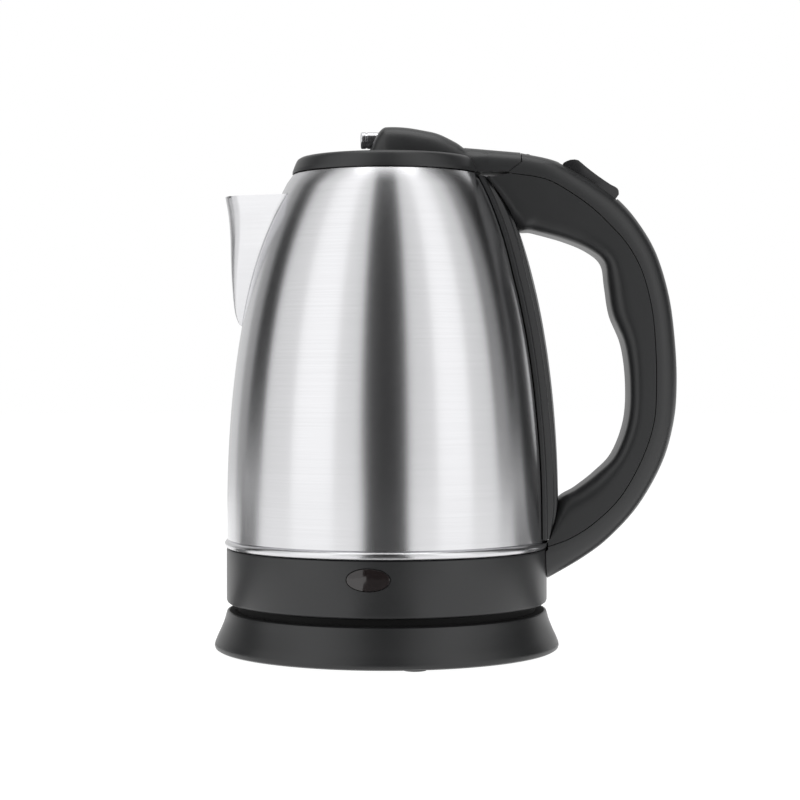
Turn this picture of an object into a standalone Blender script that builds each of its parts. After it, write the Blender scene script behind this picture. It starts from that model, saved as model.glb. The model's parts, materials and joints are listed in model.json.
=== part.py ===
"""Electric kettle on a cordless power base, every piece a separate object.

The scene is in metres, +Z up. The origin lies on the kettle's upright axis, level with the table.
The spout points along -X and the handle along +X. Sizes here are in millimetres, and MM turns them
into metres where a mesh is made.
"""

import math

import bmesh
import bpy
from mathutils import Matrix, Vector

MM = 0.001

# Clearances
GAP = 0.3  # between pieces that rest on or in each other
SEAT_GAP = 0.4  # between the steel wall and what is fixed on it
SHADOW_GAP = 0.5  # the open lines between the lid, the handle and the steel

# Steel vessel
BODY_R = 72.0  # outside radius of the straight lower wall
MOUTH_R = 43.0  # outside radius at the mouth
STEEL = 0.8  # sheet thickness
WALL_HEIGHT = 163.9  # from the bead to the mouth
STRAIGHT_SHARE = 0.1  # share of the height that is straight
SHOULDER_SHARE = 0.05  # how quickly the taper sets in
LEAN_SHARE = 0.31  # share of the height that leans straight in to the mouth
MOUTH_LEAN = 0.58  # radius lost per height at the mouth
LIP_WIDTH = 3.0  # width of the steel lip round the mouth
BEAD_H = 3.5
BEAD_OUT = 1.2  # how far the bead stands out from the wall

# Plastic skirt under the steel
COLLAR_OUT = 0.3
COLLAR_H = 24.2
PLASTIC = 2.4  # wall of the plastic mouldings
COVER_T = 2.0  # bottom cover

# Power base
BASE_GAP = 3.7  # open line between the base and the skirt
BASE_FLARE = 5.4
BASE_EDGE_Z = 1.6
BASE_LIP_Z = 18.8
SEAT_IN = 1.5  # how far the seat ring stays inside the lip
PLATE_Z = 1.2
PLATE_T = 3.0
FOOT_R = 5.5
FOOT_H = 2.6
FOOT_EDGE = 9.2  # from the foot's centre to the plate's edge
FOOT_TURN = -79.0

# Cordless connector
TOWER_R = 17.0
TOWER_TOP_Z = 30.5
PIN_R = 2.2
NEUTRAL_R = 10.0
EARTH_R = 14.2
RING_T = 0.6
PLUG_R = 21.1
PLUG_TOP_Z = 33.6

# Lid
LID_INSET = 0.4  # lid radius is this much less than the mouth's
LID_RIM_H = 7.0
LID_DOME_H = 9.3
LID_WALL = 2.2
PLUG_DEPTH = 8.0  # how deep the inner plate hangs in the mouth
HUMP_H = 21.3  # hump top above the lid's lower edge
HUMP_HALF_W = 14.5
BUTTON_R = 3.75
BUTTON_TRAVEL = 4.0
BUTTON_NOSE_X = -11.8
BUTTON_UP = 15.5  # axis above the lid's lower edge
LATCH_HALF_W = 4.0
LATCH_BACK = 1.2  # how far the latch's nose stays inside the steel lip

# Lid hinge, in the front of the handle
HINGE_OUT = 20.2  # from the mouth's radius
HINGE_UP = 7.2  # above the mouth
HINGE_PIN_R = 1.1
KNUCKLE_R = 2.2
KNUCKLE_HALF_W = 5.5

# Handle
HANDLE_HALF_W = 15.0
HANDLE_WALL = 2.2
SEAM_GAP = 0.35
STRIP_T = 5.0
STRIP_FLANGE_T = 1.6
STRIP_HALF_W = 24.0
STRIP_TOP_HALF_W = 16.5
CHANNEL_HALF_W = 7.0
CHANNEL_D = 2.2

# Handle outline: for each station the inner edge, the seam and the outer edge. Each is how far it
# stands off the steel wall, and its share of the wall's height.
HANDLE_STATIONS = (
    ((-2.5, 0.984), (11.0, 0.999), (17.0, 1.061)),
    ((3.4, 0.860), (23.8, 0.987), (31.0, 1.043)),
    ((11.5, 0.845), (30.8, 0.965), (39.5, 1.020)),
    ((23.7, 0.822), (39.8, 0.912), (49.4, 0.977)),
    ((33.3, 0.794), (45.8, 0.858), (56.1, 0.930)),
    ((38.4, 0.758), (50.7, 0.802), (60.6, 0.867)),
    ((37.4, 0.696), (53.6, 0.729), (63.8, 0.784)),
    ((36.8, 0.616), (54.1, 0.631), (64.6, 0.668)),
    ((39.9, 0.534), (52.9, 0.534), (63.5, 0.546)),
    ((39.9, 0.430), (51.1, 0.430), (61.8, 0.430)),
    ((37.4, 0.326), (48.4, 0.323), (58.9, 0.326)),
    ((31.0, 0.235), (41.9, 0.220), (52.7, 0.212)),
    ((22.7, 0.184), (32.0, 0.119), (41.5, 0.093)),
    ((13.5, 0.141), (20.5, 0.050), (28.3, 0.004)),
    ((5.5, 0.108), (10.5, 0.010), (16.5, -0.051)),
    ((1.5, 0.034), (2.2, -0.010), (3.5, -0.098)),
)
INNER, SEAM, OUTER = 0, 1, 2

# Spout: stand-off of its nose from the wall, share of the wall's height, half width at the wall
SPOUT_SECTIONS = (
    (24.9, 0.941, 19.6),
    (20.2, 0.894, 17.0),
    (16.4, 0.845, 14.5),
    (13.4, 0.795, 11.9),
    (9.1, 0.711, 7.0),
    (4.8, 0.628, 2.6),
    (2.4, 0.596, 1.0),
)
SPOUT_NOSE_R = 3.2

# Rocker switch, in a frame that lies on the handle's back: along it, and out of it
SWITCH_STATION = 3  # the handle station just behind the rocker's middle
ROCKER_HALF_W = 8.4
ROCKER_PIVOT_DEPTH = 8.0
ROCKER_PIN_R = 1.0

# Indicator lens
LENS_HALF = (9.1, 4.65)
LENS_X = -7.2
LENS_UP = 16.3  # above the skirt's lower edge

SCREW_HEAD_R = 2.8
SCREW_HEAD_H = 1.3
SCREW_SHANK_R = 1.2

TAU = 2 * math.pi

# Heights and radii that follow from the sizes above
COLLAR_R = BODY_R + COLLAR_OUT
COLLAR_Z = BASE_LIP_Z + BASE_GAP
COLLAR_TOP_Z = COLLAR_Z + COLLAR_H
BEAD_Z = COLLAR_TOP_Z + GAP
WALL_FOOT_Z = BEAD_Z + BEAD_H
MOUTH_Z = WALL_FOOT_Z + WALL_HEIGHT
BASE_R = COLLAR_R + BASE_FLARE
LID_Z = MOUTH_Z + SHADOW_GAP
LID_R = MOUTH_R - LID_INSET
MOUTH_HOLE_R = MOUTH_R - LIP_WIDTH
HINGE = Vector((MOUTH_R + HINGE_OUT, 0, MOUTH_Z + HINGE_UP))
BUTTON_Z = LID_Z + BUTTON_UP

BLACK = ((0.045, 0.046, 0.048), 0.42, 0.0)
SOFT_BLACK = ((0.03, 0.03, 0.031), 0.7, 0.0)
GREY = ((0.35, 0.36, 0.37), 0.5, 0.0)
STEEL_FINISH = ((0.62, 0.62, 0.64), 0.3, 1.0)
CHROME = ((0.75, 0.75, 0.77), 0.12, 1.0)
BRASS = ((0.75, 0.58, 0.3), 0.3, 1.0)
LENS_DARK = ((0.03, 0.02, 0.02), 0.08, 0.0)
GLASS = ((0.85, 0.6, 0.45), 0.05, 0.0)
SILICONE = ((0.6, 0.6, 0.58), 0.6, 0.0)
WIRE_RED = ((0.4, 0.03, 0.03), 0.5, 0.0)
WIRE_BLUE = ((0.03, 0.07, 0.35), 0.5, 0.0)


# ---------------------------------------------------------------- scene and piece helpers


def clear_scene():
    for obj in list(bpy.data.objects):
        bpy.data.objects.remove(obj, do_unlink=True)


def new_collection(name):
    collection = bpy.data.collections.new(name)
    bpy.context.scene.collection.children.link(collection)
    return collection


clear_scene()
PARTS = new_collection("electric_kettle")
CUTTERS = new_collection("cutters")


def add_object(name, data, finish):
    """A piece with its own material or, where it has no finish, a cutter."""
    obj = bpy.data.objects.new(name, data)
    if finish is None:
        CUTTERS.objects.link(obj)
        obj.hide_render = True
        obj.display_type = "WIRE"
        return obj
    PARTS.objects.link(obj)
    colour, roughness, metallic = finish
    material = bpy.data.materials.new(name)
    material.use_nodes = True
    shader = material.node_tree.nodes["Principled BSDF"]
    shader.inputs["Base Color"].default_value = (*colour, 1)
    shader.inputs["Roughness"].default_value = roughness
    shader.inputs["Metallic"].default_value = metallic
    data.materials.append(material)
    return obj


def mesh_from(bm, name):
    bmesh.ops.recalc_face_normals(bm, faces=bm.faces)
    mesh = bpy.data.meshes.new(name)
    bm.to_mesh(mesh)
    bm.free()
    return mesh


def signed_area(outline):
    pairs = zip(outline, outline[1:] + outline[:1])
    return sum(a[0] * b[1] - b[0] * a[1] for a, b in pairs) / 2


def turned(name, outline, finish=None, segments=32):
    """(radius, height) points turned round the upright axis. An outline that starts and ends on
    the axis is left open there."""
    points = list(outline)
    if signed_area(points) > 0:
        points.reverse()
    edges = [(i, i + 1) for i in range(len(points) - 1)]
    if points[0][0] > 0 or points[-1][0] > 0:
        edges.append((len(points) - 1, 0))
    mesh = bpy.data.meshes.new(name)
    mesh.from_pydata([(r * MM, 0, z * MM) for r, z in points], edges, [])
    obj = add_object(name, mesh, finish)
    screw = obj.modifiers.new("Turn", "SCREW")
    screw.steps = screw.render_steps = segments
    screw.use_merge_vertices = True
    screw.merge_threshold = 0.00001
    return obj


def lofted(name, rings, finish=None):
    """A closed skin over rings of points that each have the same count, with flat ends."""
    bm = bmesh.new()
    rows = [[bm.verts.new(Vector(point) * MM) for point in ring] for ring in rings]
    count = len(rows[0])
    for low, high in zip(rows, rows[1:]):
        for i in range(count):
            j = (i + 1) % count
            bm.faces.new((low[i], low[j], high[j], high[i]))
    bm.faces.new(rows[0])
    bm.faces.new(rows[-1])
    bmesh.ops.recalc_face_normals(bm, faces=bm.faces)
    bmesh.ops.triangulate(bm, faces=bm.faces)
    return add_object(name, mesh_from(bm, name), finish)


def extruded(name, outline, axis, low, high, finish=None):
    """A flat outline, given along the two other axes in X, Y, Z order, made thick along `axis`."""
    bm = bmesh.new()
    corners = []
    for first, second in outline:
        point = [first, second]
        point.insert("XYZ".index(axis), low)
        corners.append(bm.verts.new(Vector(point) * MM))
    face = bm.faces.new(corners)
    grown = bmesh.ops.extrude_face_region(bm, geom=[face])["geom"]
    step = Vector([high - low if letter == axis else 0 for letter in "XYZ"]) * MM
    moved = [item for item in grown if isinstance(item, bmesh.types.BMVert)]
    bmesh.ops.translate(bm, vec=step, verts=moved)
    return add_object(name, mesh_from(bm, name), finish)


def box(name, size, centre, finish=None, bevel=0.0, tilt=0.0):
    """A block at `centre`, turned about Y by `tilt` degrees, with its edges rounded by `bevel`."""
    bm = bmesh.new()
    scale = Matrix.Diagonal((*[side * MM for side in size], 1))
    bmesh.ops.create_cube(bm, size=1, matrix=scale)
    obj = add_object(name, mesh_from(bm, name), finish)
    obj.location = Vector(centre) * MM
    obj.rotation_euler.y = math.radians(tilt)
    if bevel:
        rounding = obj.modifiers.new("Rounding", "BEVEL")
        rounding.width = bevel * MM
        rounding.segments = 2
    return obj


def rod(name, radius, start, end, finish=None, segments=16):
    """A round bar from one point to another."""
    start, end = Vector(start), Vector(end)
    bm = bmesh.new()
    bmesh.ops.create_cone(
        bm,
        cap_ends=True,
        segments=segments,
        radius1=radius * MM,
        radius2=radius * MM,
        depth=(end - start).length * MM,
    )
    obj = add_object(name, mesh_from(bm, name), finish)
    obj.location = (start + end) / 2 * MM
    obj.rotation_euler = (end - start).to_track_quat("Z", "Y").to_euler()
    return obj


def wire(name, points, radius, finish):
    """A round wire along a path, as a curve."""
    curve = bpy.data.curves.new(name, "CURVE")
    curve.dimensions = "3D"
    spline = curve.splines.new("POLY")
    spline.points.add(len(points) - 1)
    for spot, point in zip(spline.points, points):
        spot.co = (*(Vector(point) * MM), 1)
    curve.bevel_depth = radius * MM
    curve.bevel_resolution = 2
    curve.use_fill_caps = True
    return add_object(name, curve, finish)


def boolean(obj, operation, *others):
    for other in others:
        modifier = obj.modifiers.new(other.name, "BOOLEAN")
        modifier.operation = operation
        modifier.object = other
    return obj


def cut(obj, *others):
    return boolean(obj, "DIFFERENCE", *others)


def join(obj, *others):
    return boolean(obj, "UNION", *others)


def mixed(first, second, share):
    return first + (second - first) * share


def smooth_path(points, steps):
    """Points on a smooth curve through the given ones, `steps` to each stretch."""
    points = [Vector(point) for point in points]
    before = points[0] * 2 - points[1]
    after = points[-1] * 2 - points[-2]
    run = [before, *points, after]
    path = []
    for p0, p1, p2, p3 in zip(run, run[1:], run[2:], run[3:]):
        for step in range(steps):
            t = step / steps
            bend = 2 * p0 - 5 * p1 + 4 * p2 - p3
            swing = 3 * p1 - p0 - 3 * p2 + p3
            path.append((2 * p1 + (p2 - p0) * t + bend * t * t + swing * t**3) / 2)
    path.append(points[-1])
    return path


def arc(centre, radius, start, end, steps):
    """Points on a flat arc, its angles in degrees."""
    angles = [math.radians(mixed(start, end, i / steps)) for i in range(steps + 1)]
    return [(centre[0] + radius * math.cos(a), centre[1] + radius * math.sin(a)) for a in angles]


def around(radius, degrees, z):
    angle = math.radians(degrees)
    return Vector((radius * math.cos(angle), radius * math.sin(angle), z))


# ---------------------------------------------------------------- the steel wall


def wall_curve(t):
    """(radius, height) along the wall's tapered stretch, from its foot at 0 to the mouth at 1."""
    start_z = WALL_FOOT_Z + STRAIGHT_SHARE * WALL_HEIGHT
    lean = LEAN_SHARE * WALL_HEIGHT
    handles = (
        Vector((BODY_R, start_z)),
        Vector((BODY_R, start_z + SHOULDER_SHARE * WALL_HEIGHT)),
        Vector((MOUTH_R + MOUTH_LEAN * lean, MOUTH_Z - lean)),
        Vector((MOUTH_R, MOUTH_Z)),
    )
    weights = ((1 - t) ** 3, 3 * (1 - t) ** 2 * t, 3 * (1 - t) * t * t, t**3)
    return sum((w * handle for w, handle in zip(weights, handles)), Vector((0, 0)))


def wall_radius(z):
    """The wall's outside radius at a height. Above the mouth it is the mouth's."""
    low, high = 0.0, 1.0
    if z <= wall_curve(low).y:
        return BODY_R
    if z >= MOUTH_Z:
        return MOUTH_R
    for _ in range(40):
        middle = (low + high) / 2
        if wall_curve(middle).y < z:
            low = middle
        else:
            high = middle
    return wall_curve(low).x


def wall_z(share):
    return WALL_FOOT_Z + share * WALL_HEIGHT


def off_wall(stand_off, share):
    """The point in the XZ plane that stands off the handle's side of the wall."""
    z = wall_z(share)
    return Vector((wall_radius(z) + stand_off, 0, z))


def wall_heights(low, high, count):
    return [mixed(low, high, i / (count - 1)) for i in range(count)]


def wall_skin(name, inside, outside, low, high, count=12, finish=None):
    """A turned skin that follows the wall between two heights, from one offset to another."""
    heights = wall_heights(low, high, count)
    inner, outer = ([(wall_radius(z) + offset, z) for z in heights] for offset in (inside, outside))
    return turned(name, outer[::-1] + inner, finish)


# ---------------------------------------------------------------- screws


def screw_outline(length):
    return [
        (0, SCREW_HEAD_H - 0.5),
        (0.9, SCREW_HEAD_H - 0.5),
        (0.9, SCREW_HEAD_H),
        (SCREW_HEAD_R, SCREW_HEAD_H),
        (SCREW_HEAD_R, 0),
        (SCREW_SHANK_R, 0),
        (SCREW_SHANK_R, -length),
        (0, -length),
    ]


def screw(name, seat, direction, length):
    """A screw whose head rests at `seat` and whose shank runs along `direction`."""
    obj = turned(name, screw_outline(length), STEEL_FINISH, 10)
    obj.location = Vector(seat) * MM
    obj.rotation_euler = (-Vector(direction)).to_track_quat("Z", "Y").to_euler()
    return obj


def screw_hole(name, seat, direction, depth):
    """A cutter for the screw's head and shank, open on the head's side."""
    reach = SCREW_HEAD_H + 12
    outline = [
        (0, reach),
        (SCREW_HEAD_R + GAP, reach),
        (SCREW_HEAD_R + GAP, -GAP),
        (SCREW_SHANK_R + GAP, -GAP),
        (SCREW_SHANK_R + GAP, -depth),
        (0, -depth),
    ]
    obj = turned(name, outline, None, 12)
    obj.location = Vector(seat) * MM
    obj.rotation_euler = (-Vector(direction)).to_track_quat("Z", "Y").to_euler()
    return obj


# ---------------------------------------------------------------- power base

SOCKET_FLANGE_Z = 13.0
SOCKET_FLANGE_T = 1.8
BASE_TRAY_Z = SOCKET_FLANGE_Z + SOCKET_FLANGE_T + GAP + PLASTIC
SEAT_Z = COLLAR_Z - GAP
BASE_SCREW_R = 40.0
BASE_SCREW_LENGTH = 9.0
BOSS_R = 3.8
CORD_R = 3.2
CORD_Z = 11.0


def base_outer_outline():
    """From the hole for the socket's tower, over the top and down the flared side."""
    hole = TOWER_R + GAP
    flare = [
        (COLLAR_R, BASE_LIP_Z - 1.2),
        (COLLAR_R + 0.18 * BASE_FLARE, mixed(BASE_LIP_Z, BASE_EDGE_Z, 0.38)),
        (COLLAR_R + 0.60 * BASE_FLARE, mixed(BASE_LIP_Z, BASE_EDGE_Z, 0.62)),
        (BASE_R, mixed(BASE_LIP_Z, BASE_EDGE_Z, 0.84)),
    ]
    return [
        (hole, BASE_TRAY_Z),
        (0.72 * COLLAR_R, BASE_TRAY_Z),
        (0.80 * COLLAR_R, SEAT_Z),
        (COLLAR_R - SEAT_IN - 0.5, SEAT_Z),
        (COLLAR_R - SEAT_IN, SEAT_Z - 0.5),
        (COLLAR_R - SEAT_IN, BASE_LIP_Z),
        (COLLAR_R - 0.6, BASE_LIP_Z),
        *flare,
        (BASE_R - 0.3, BASE_EDGE_Z + 0.9),
        (BASE_R - 1.3, BASE_EDGE_Z),
    ]


def plate_radius():
    return BASE_R - 1.3 - PLASTIC - SEAT_GAP


def base_inner_outline():
    """The inside of the base, from its lower edge back up to the tower's hole."""
    inside = COLLAR_R - SEAT_IN - PLASTIC
    return [
        (BASE_R - 1.3 - PLASTIC, BASE_EDGE_Z),
        (BASE_R - 1.1 - PLASTIC, mixed(BASE_LIP_Z, BASE_EDGE_Z, 0.80)),
        (COLLAR_R - PLASTIC, mixed(BASE_LIP_Z, BASE_EDGE_Z, 0.40)),
        (inside, BASE_LIP_Z - 2.0),
        (inside, SEAT_Z - PLASTIC),
        (0.81 * COLLAR_R, SEAT_Z - PLASTIC),
        (0.73 * COLLAR_R, BASE_TRAY_Z - PLASTIC),
        (TOWER_R + GAP, BASE_TRAY_Z - PLASTIC),
    ]


def base_screw_spots():
    return [around(BASE_SCREW_R, 120 * i + 30, PLATE_Z + PLATE_T - 1.1) for i in range(3)]


def make_base_housing():
    housing = turned("base_housing", base_outer_outline() + base_inner_outline(), BLACK)
    for i, spot in enumerate(base_screw_spots()):
        foot = Vector((spot.x, spot.y, PLATE_Z + PLATE_T + GAP))
        top = Vector((spot.x, spot.y, BASE_TRAY_Z - 0.8))
        join(housing, rod(f"base_boss_{i + 1}", BOSS_R, foot, top))
        bore_top = Vector((spot.x, spot.y, spot.z + BASE_SCREW_LENGTH + GAP))
        below = Vector((spot.x, spot.y, 0))
        cut(housing, rod(f"base_bore_{i + 1}", SCREW_SHANK_R + GAP, below, bore_top))
    outside = Vector((0, BASE_R + 5, CORD_Z))
    inside = Vector((0, BASE_R - 12, CORD_Z))
    cut(housing, rod("cord_hole", CORD_R + 1.5 + GAP, inside, outside, segments=24))


def make_base_bottom_plate():
    top = PLATE_Z + PLATE_T
    edge = plate_radius()
    outline = [(0, top), (edge, top), (edge, PLATE_Z + 0.6), (edge - 0.6, PLATE_Z), (0, PLATE_Z)]
    plate = turned("base_bottom_plate", outline, BLACK)
    for i, spot in enumerate(foot_spots()):
        roof = Vector((spot.x, spot.y, FOOT_H + GAP))
        cut(plate, rod(f"foot_recess_{i + 1}", FOOT_R + 2 * GAP, spot, roof))
    for i, spot in enumerate(base_screw_spots()):
        cut(plate, screw_hole(f"plate_hole_{i + 1}", spot, (0, 0, 1), PLATE_T))


def foot_spots():
    radius = plate_radius() - FOOT_EDGE
    return [around(radius, FOOT_TURN + 90 * i, 0) for i in range(4)]


def make_feet():
    for i, spot in enumerate(foot_spots()):
        outline = [
            (0, FOOT_H),
            (FOOT_R, FOOT_H),
            (FOOT_R, 0.5),
            (FOOT_R - 0.5, 0),
            (0, 0),
        ]
        foot = turned(f"rubber_foot_{i + 1}", outline, SOFT_BLACK, 20)
        foot.location = spot * MM


def make_base_screws():
    for i, spot in enumerate(base_screw_spots()):
        screw(f"base_screw_{i + 1}", spot, (0, 0, 1), BASE_SCREW_LENGTH)


def groove(radius, half_width):
    """The two radii of a groove that a connector ring runs in."""
    return radius - half_width, radius + half_width


def make_base_socket():
    neutral_in, neutral_out = groove(NEUTRAL_R, 1.6)
    earth_in, earth_out = groove(EARTH_R, 1.2)
    pin_hole = PIN_R + 0.8
    flange_r = TOWER_R + 8
    flange_top = SOCKET_FLANGE_Z + SOCKET_FLANGE_T
    outline = [
        (0, 15.0),
        (pin_hole, 15.0),
        (pin_hole, TOWER_TOP_Z),
        (neutral_in, TOWER_TOP_Z),
        (neutral_in, 17.0),
        (neutral_out, 17.0),
        (neutral_out, TOWER_TOP_Z),
        (earth_in, TOWER_TOP_Z),
        (earth_in, 19.0),
        (earth_out, 19.0),
        (earth_out, TOWER_TOP_Z),
        (TOWER_R - 0.6, TOWER_TOP_Z),
        (TOWER_R, TOWER_TOP_Z - 0.6),
        (TOWER_R, flange_top),
        (flange_r, flange_top),
        (flange_r, SOCKET_FLANGE_Z),
        (TOWER_R - 2, SOCKET_FLANGE_Z),
        (TOWER_R - 2, 7.0),
        (0, 7.0),
    ]
    turned("base_socket", outline, GREY, 24)


def ring(name, inner, outer, low, high, finish, segments=24):
    outline = [(inner, high), (outer, high), (outer, low), (inner, low)]
    return turned(name, outline, finish, segments)


def make_socket_contacts():
    ring("socket_contact_live", PIN_R - 0.9, PIN_R + 0.4, 15.3, 20.5, BRASS, 16)
    neutral_in = groove(NEUTRAL_R, 1.6)[0]
    ring("socket_contact_neutral", neutral_in + GAP, neutral_in + 0.8, 17.3, 26.0, BRASS)
    ring("socket_contact_earth", EARTH_R - 0.7, EARTH_R + 0.7, 19.3, 21.5, BRASS)


def make_cord_grommet():
    """A bushing in the back of the base that the mains lead comes out of."""
    outer, flange = CORD_R + 1.5, CORD_R + 2.6
    wall_y = COLLAR_R + 1.5
    outline = [
        (outer, 1.6),
        (outer, -7.0),
        (flange, -7.0),
        (flange, -9.0),
        (CORD_R, -9.0),
        (CORD_R, 1.6),
    ]
    grommet = turned("cord_grommet", outline, SOFT_BLACK, 24)
    grommet.location = Vector((0, wall_y, CORD_Z)) * MM
    grommet.rotation_euler.x = math.radians(-90)


def make_power_base():
    make_base_housing()
    make_base_bottom_plate()
    make_feet()
    make_base_screws()
    make_base_socket()
    make_socket_contacts()
    make_cord_grommet()


# ---------------------------------------------------------------- plug under the kettle


def make_plug():
    roof = TOWER_TOP_Z + 0.5
    slot = roof + 1.3
    cavity = TOWER_R + 0.6
    flange_z = COLLAR_Z + GAP + COVER_T + GAP
    earth_in, earth_out = groove(EARTH_R, RING_T / 2 + GAP)
    neutral_in, neutral_out = groove(NEUTRAL_R, RING_T / 2 + GAP)
    pin_hole = PIN_R + GAP
    outline = [
        (pin_hole, PLUG_TOP_Z),
        (PLUG_R, PLUG_TOP_Z),
        (PLUG_R, flange_z + 3),
        (PLUG_R + 3.4, flange_z + 3),
        (PLUG_R + 3.4, flange_z),
        (PLUG_R, flange_z),
        (PLUG_R, COLLAR_Z + 0.6),
        (cavity, COLLAR_Z + 0.6),
        (cavity, roof),
        (earth_out, roof),
        (earth_out, slot),
        (earth_in, slot),
        (earth_in, roof),
        (neutral_out, roof),
        (neutral_out, slot),
        (neutral_in, slot),
        (neutral_in, roof),
        (pin_hole, roof),
    ]
    turned("plug_housing", outline, BLACK, 24)
    tip = 21.5
    pin_outline = [
        (0, PLUG_TOP_Z - GAP),
        (PIN_R, PLUG_TOP_Z - GAP),
        (PIN_R, tip + 1.2),
        (PIN_R - 1.2, tip),
        (0, tip),
    ]
    turned("plug_pin_live", pin_outline, BRASS, 16)
    half = RING_T / 2
    ring("plug_ring_neutral", NEUTRAL_R - half, NEUTRAL_R + half, 22.0, slot - GAP, BRASS)
    ring("plug_ring_earth", EARTH_R - half, EARTH_R + half, 23.0, slot - GAP, BRASS)


# ---------------------------------------------------------------- vessel, spout and skirt

SPOUT_HOLE_TOP = 0.905  # shares of the wall's height
SPOUT_HOLE_FOOT = 0.72
STEAM_HOLE_R = 1.8
STEAM_ROOM = 2.4  # the strip's and grip's holes round the slanting steam tube, over its bore
BRACKET_SHARES = {"upper": 0.875, "lower": 0.085}  # heights of the handle's two fixings
BRACKET_HALF_H = 6.0
STEAM_UP = BRACKET_HALF_H + 3.8  # the steam hole above the upper bracket's middle
WALL_STEPS = 8


def spout_hole_outline(grow):
    """The pouring hole in the wall, as (y, z), made larger all round by `grow`."""
    top, foot = wall_z(SPOUT_HOLE_TOP) + grow, wall_z(SPOUT_HOLE_FOOT) - grow
    wide, narrow = 12.5 + grow, 4.0 + grow
    right = [(narrow, foot), (wide, top - 4), (wide - 4, top)]
    return right + [(-y, z) for y, z in right[::-1]]


def steam_share():
    return BRACKET_SHARES["upper"] + STEAM_UP / WALL_HEIGHT


def steam_hole(name, radius, start=-6, end=12):
    spot = off_wall(0, steam_share())
    return rod(name, radius, spot + Vector((start, 0, 0)), spot + Vector((end, 0, 0)))


def make_kettle_body():
    taper = [wall_curve(i / WALL_STEPS) for i in range(WALL_STEPS, -1, -1)]
    outer = [(point.x, point.y) for point in taper]
    inner = [(r - STEEL, z) for r, z in outer if z < MOUTH_Z - 3]
    bead_r = BODY_R + BEAD_OUT
    middle = BEAD_Z + BEAD_H / 2
    lip_low = MOUTH_Z - STEEL - 0.5
    outline = [
        (MOUTH_HOLE_R, MOUTH_Z - 0.3),
        (MOUTH_R - 0.7, MOUTH_Z),
        *outer,
        (BODY_R, WALL_FOOT_Z + 0.6),
        (bead_r - 0.5, WALL_FOOT_Z),
        (bead_r, middle + 0.8),
        (bead_r, middle - 0.8),
        (bead_r - 0.5, BEAD_Z),
        (BODY_R - STEEL - 0.6, BEAD_Z),
        (BODY_R - STEEL - 0.6, WALL_FOOT_Z),
        (BODY_R - STEEL, WALL_FOOT_Z + 0.8),
        *inner[::-1],
        (wall_radius(lip_low - 0.6) - STEEL, lip_low - 0.6),
        (MOUTH_HOLE_R + 0.6, lip_low - 0.3),
        (MOUTH_HOLE_R, lip_low),
    ]
    body = turned("kettle_body", outline, STEEL_FINISH)
    hole = extruded("spout_hole", spout_hole_outline(0), "X", -BODY_R - 20, -MOUTH_R / 2)
    cut(body, hole, steam_hole("steam_hole", STEAM_HOLE_R))


def spout_section(stand_off, share, half_width, wall=0.0, reach=7.0):
    """One level outline of the spout, moved in by `wall`. It reaches into the body, to be cut."""
    z = wall_z(share)
    radius = wall_radius(z)
    side = half_width - wall * 1.1
    nose_r = max(min(SPOUT_NOSE_R, 0.9 * half_width) - wall, 0.5)
    wall_x = math.sqrt(max(radius**2 - half_width**2, 0))
    centre_x = radius + stand_off - wall - nose_r
    run = centre_x - wall_x
    slope = math.atan2(side, run) - math.asin(min(nose_r / math.hypot(run, side), 1))
    tangent = 90 - math.degrees(slope)
    nose = arc((centre_x, 0), nose_r, tangent, -tangent, 4)
    back = Vector((wall_x, side)) + Vector((-math.cos(slope), math.sin(slope))) * reach
    ring_points = [(back.x, back.y), *nose, (back.x, -back.y)]
    return [(-x, y, z) for x, y in ring_points]


def make_spout():
    outer = [spout_section(*section) for section in SPOUT_SECTIONS]
    spout = lofted("spout", outer, STEEL_FINISH)
    inner = [spout_section(*section, wall=STEEL, reach=11.0) for section in SPOUT_SECTIONS[:-1]]
    overshoot = [(x, y, z + 3) for x, y, z in inner[0]]
    cut(spout, lofted("spout_hollow", [overshoot, *inner]))
    low, high = wall_z(SPOUT_SECTIONS[-1][1]) - 6, wall_z(SPOUT_SECTIONS[0][1]) + 6
    heights = wall_heights(low, high, 16)
    envelope = [(0, high), *((wall_radius(z) + GAP, z) for z in heights[::-1]), (0, low)]
    cut(spout, turned("spout_envelope", envelope))


def make_spout_filter():
    """A moulded strainer behind the pouring hole, with rows of small openings."""
    low, high = wall_z(SPOUT_HOLE_FOOT) - 6, wall_z(SPOUT_HOLE_TOP) + 6
    strainer = wall_skin("spout_filter", -STEEL - 2.5, -STEEL - 0.9, low, high, 8, GREY)
    shape = extruded("filter_outline", spout_hole_outline(1.5), "X", -BODY_R, -MOUTH_R / 2)
    boolean(strainer, "INTERSECT", shape)
    rows, pitch = 5, 4.6
    for row in range(rows):
        z = wall_z(SPOUT_HOLE_TOP) - 4 - row * pitch
        holes = max(3 - row // 2, 1)
        for column in range(holes):
            y = (column - (holes - 1) / 2) * pitch * 1.3
            start, end = (-BODY_R, y, z), (-MOUTH_R / 2, y, z)
            cut(strainer, rod(f"filter_hole_{row}_{column}", 1.5, start, end, segments=8))


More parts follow.
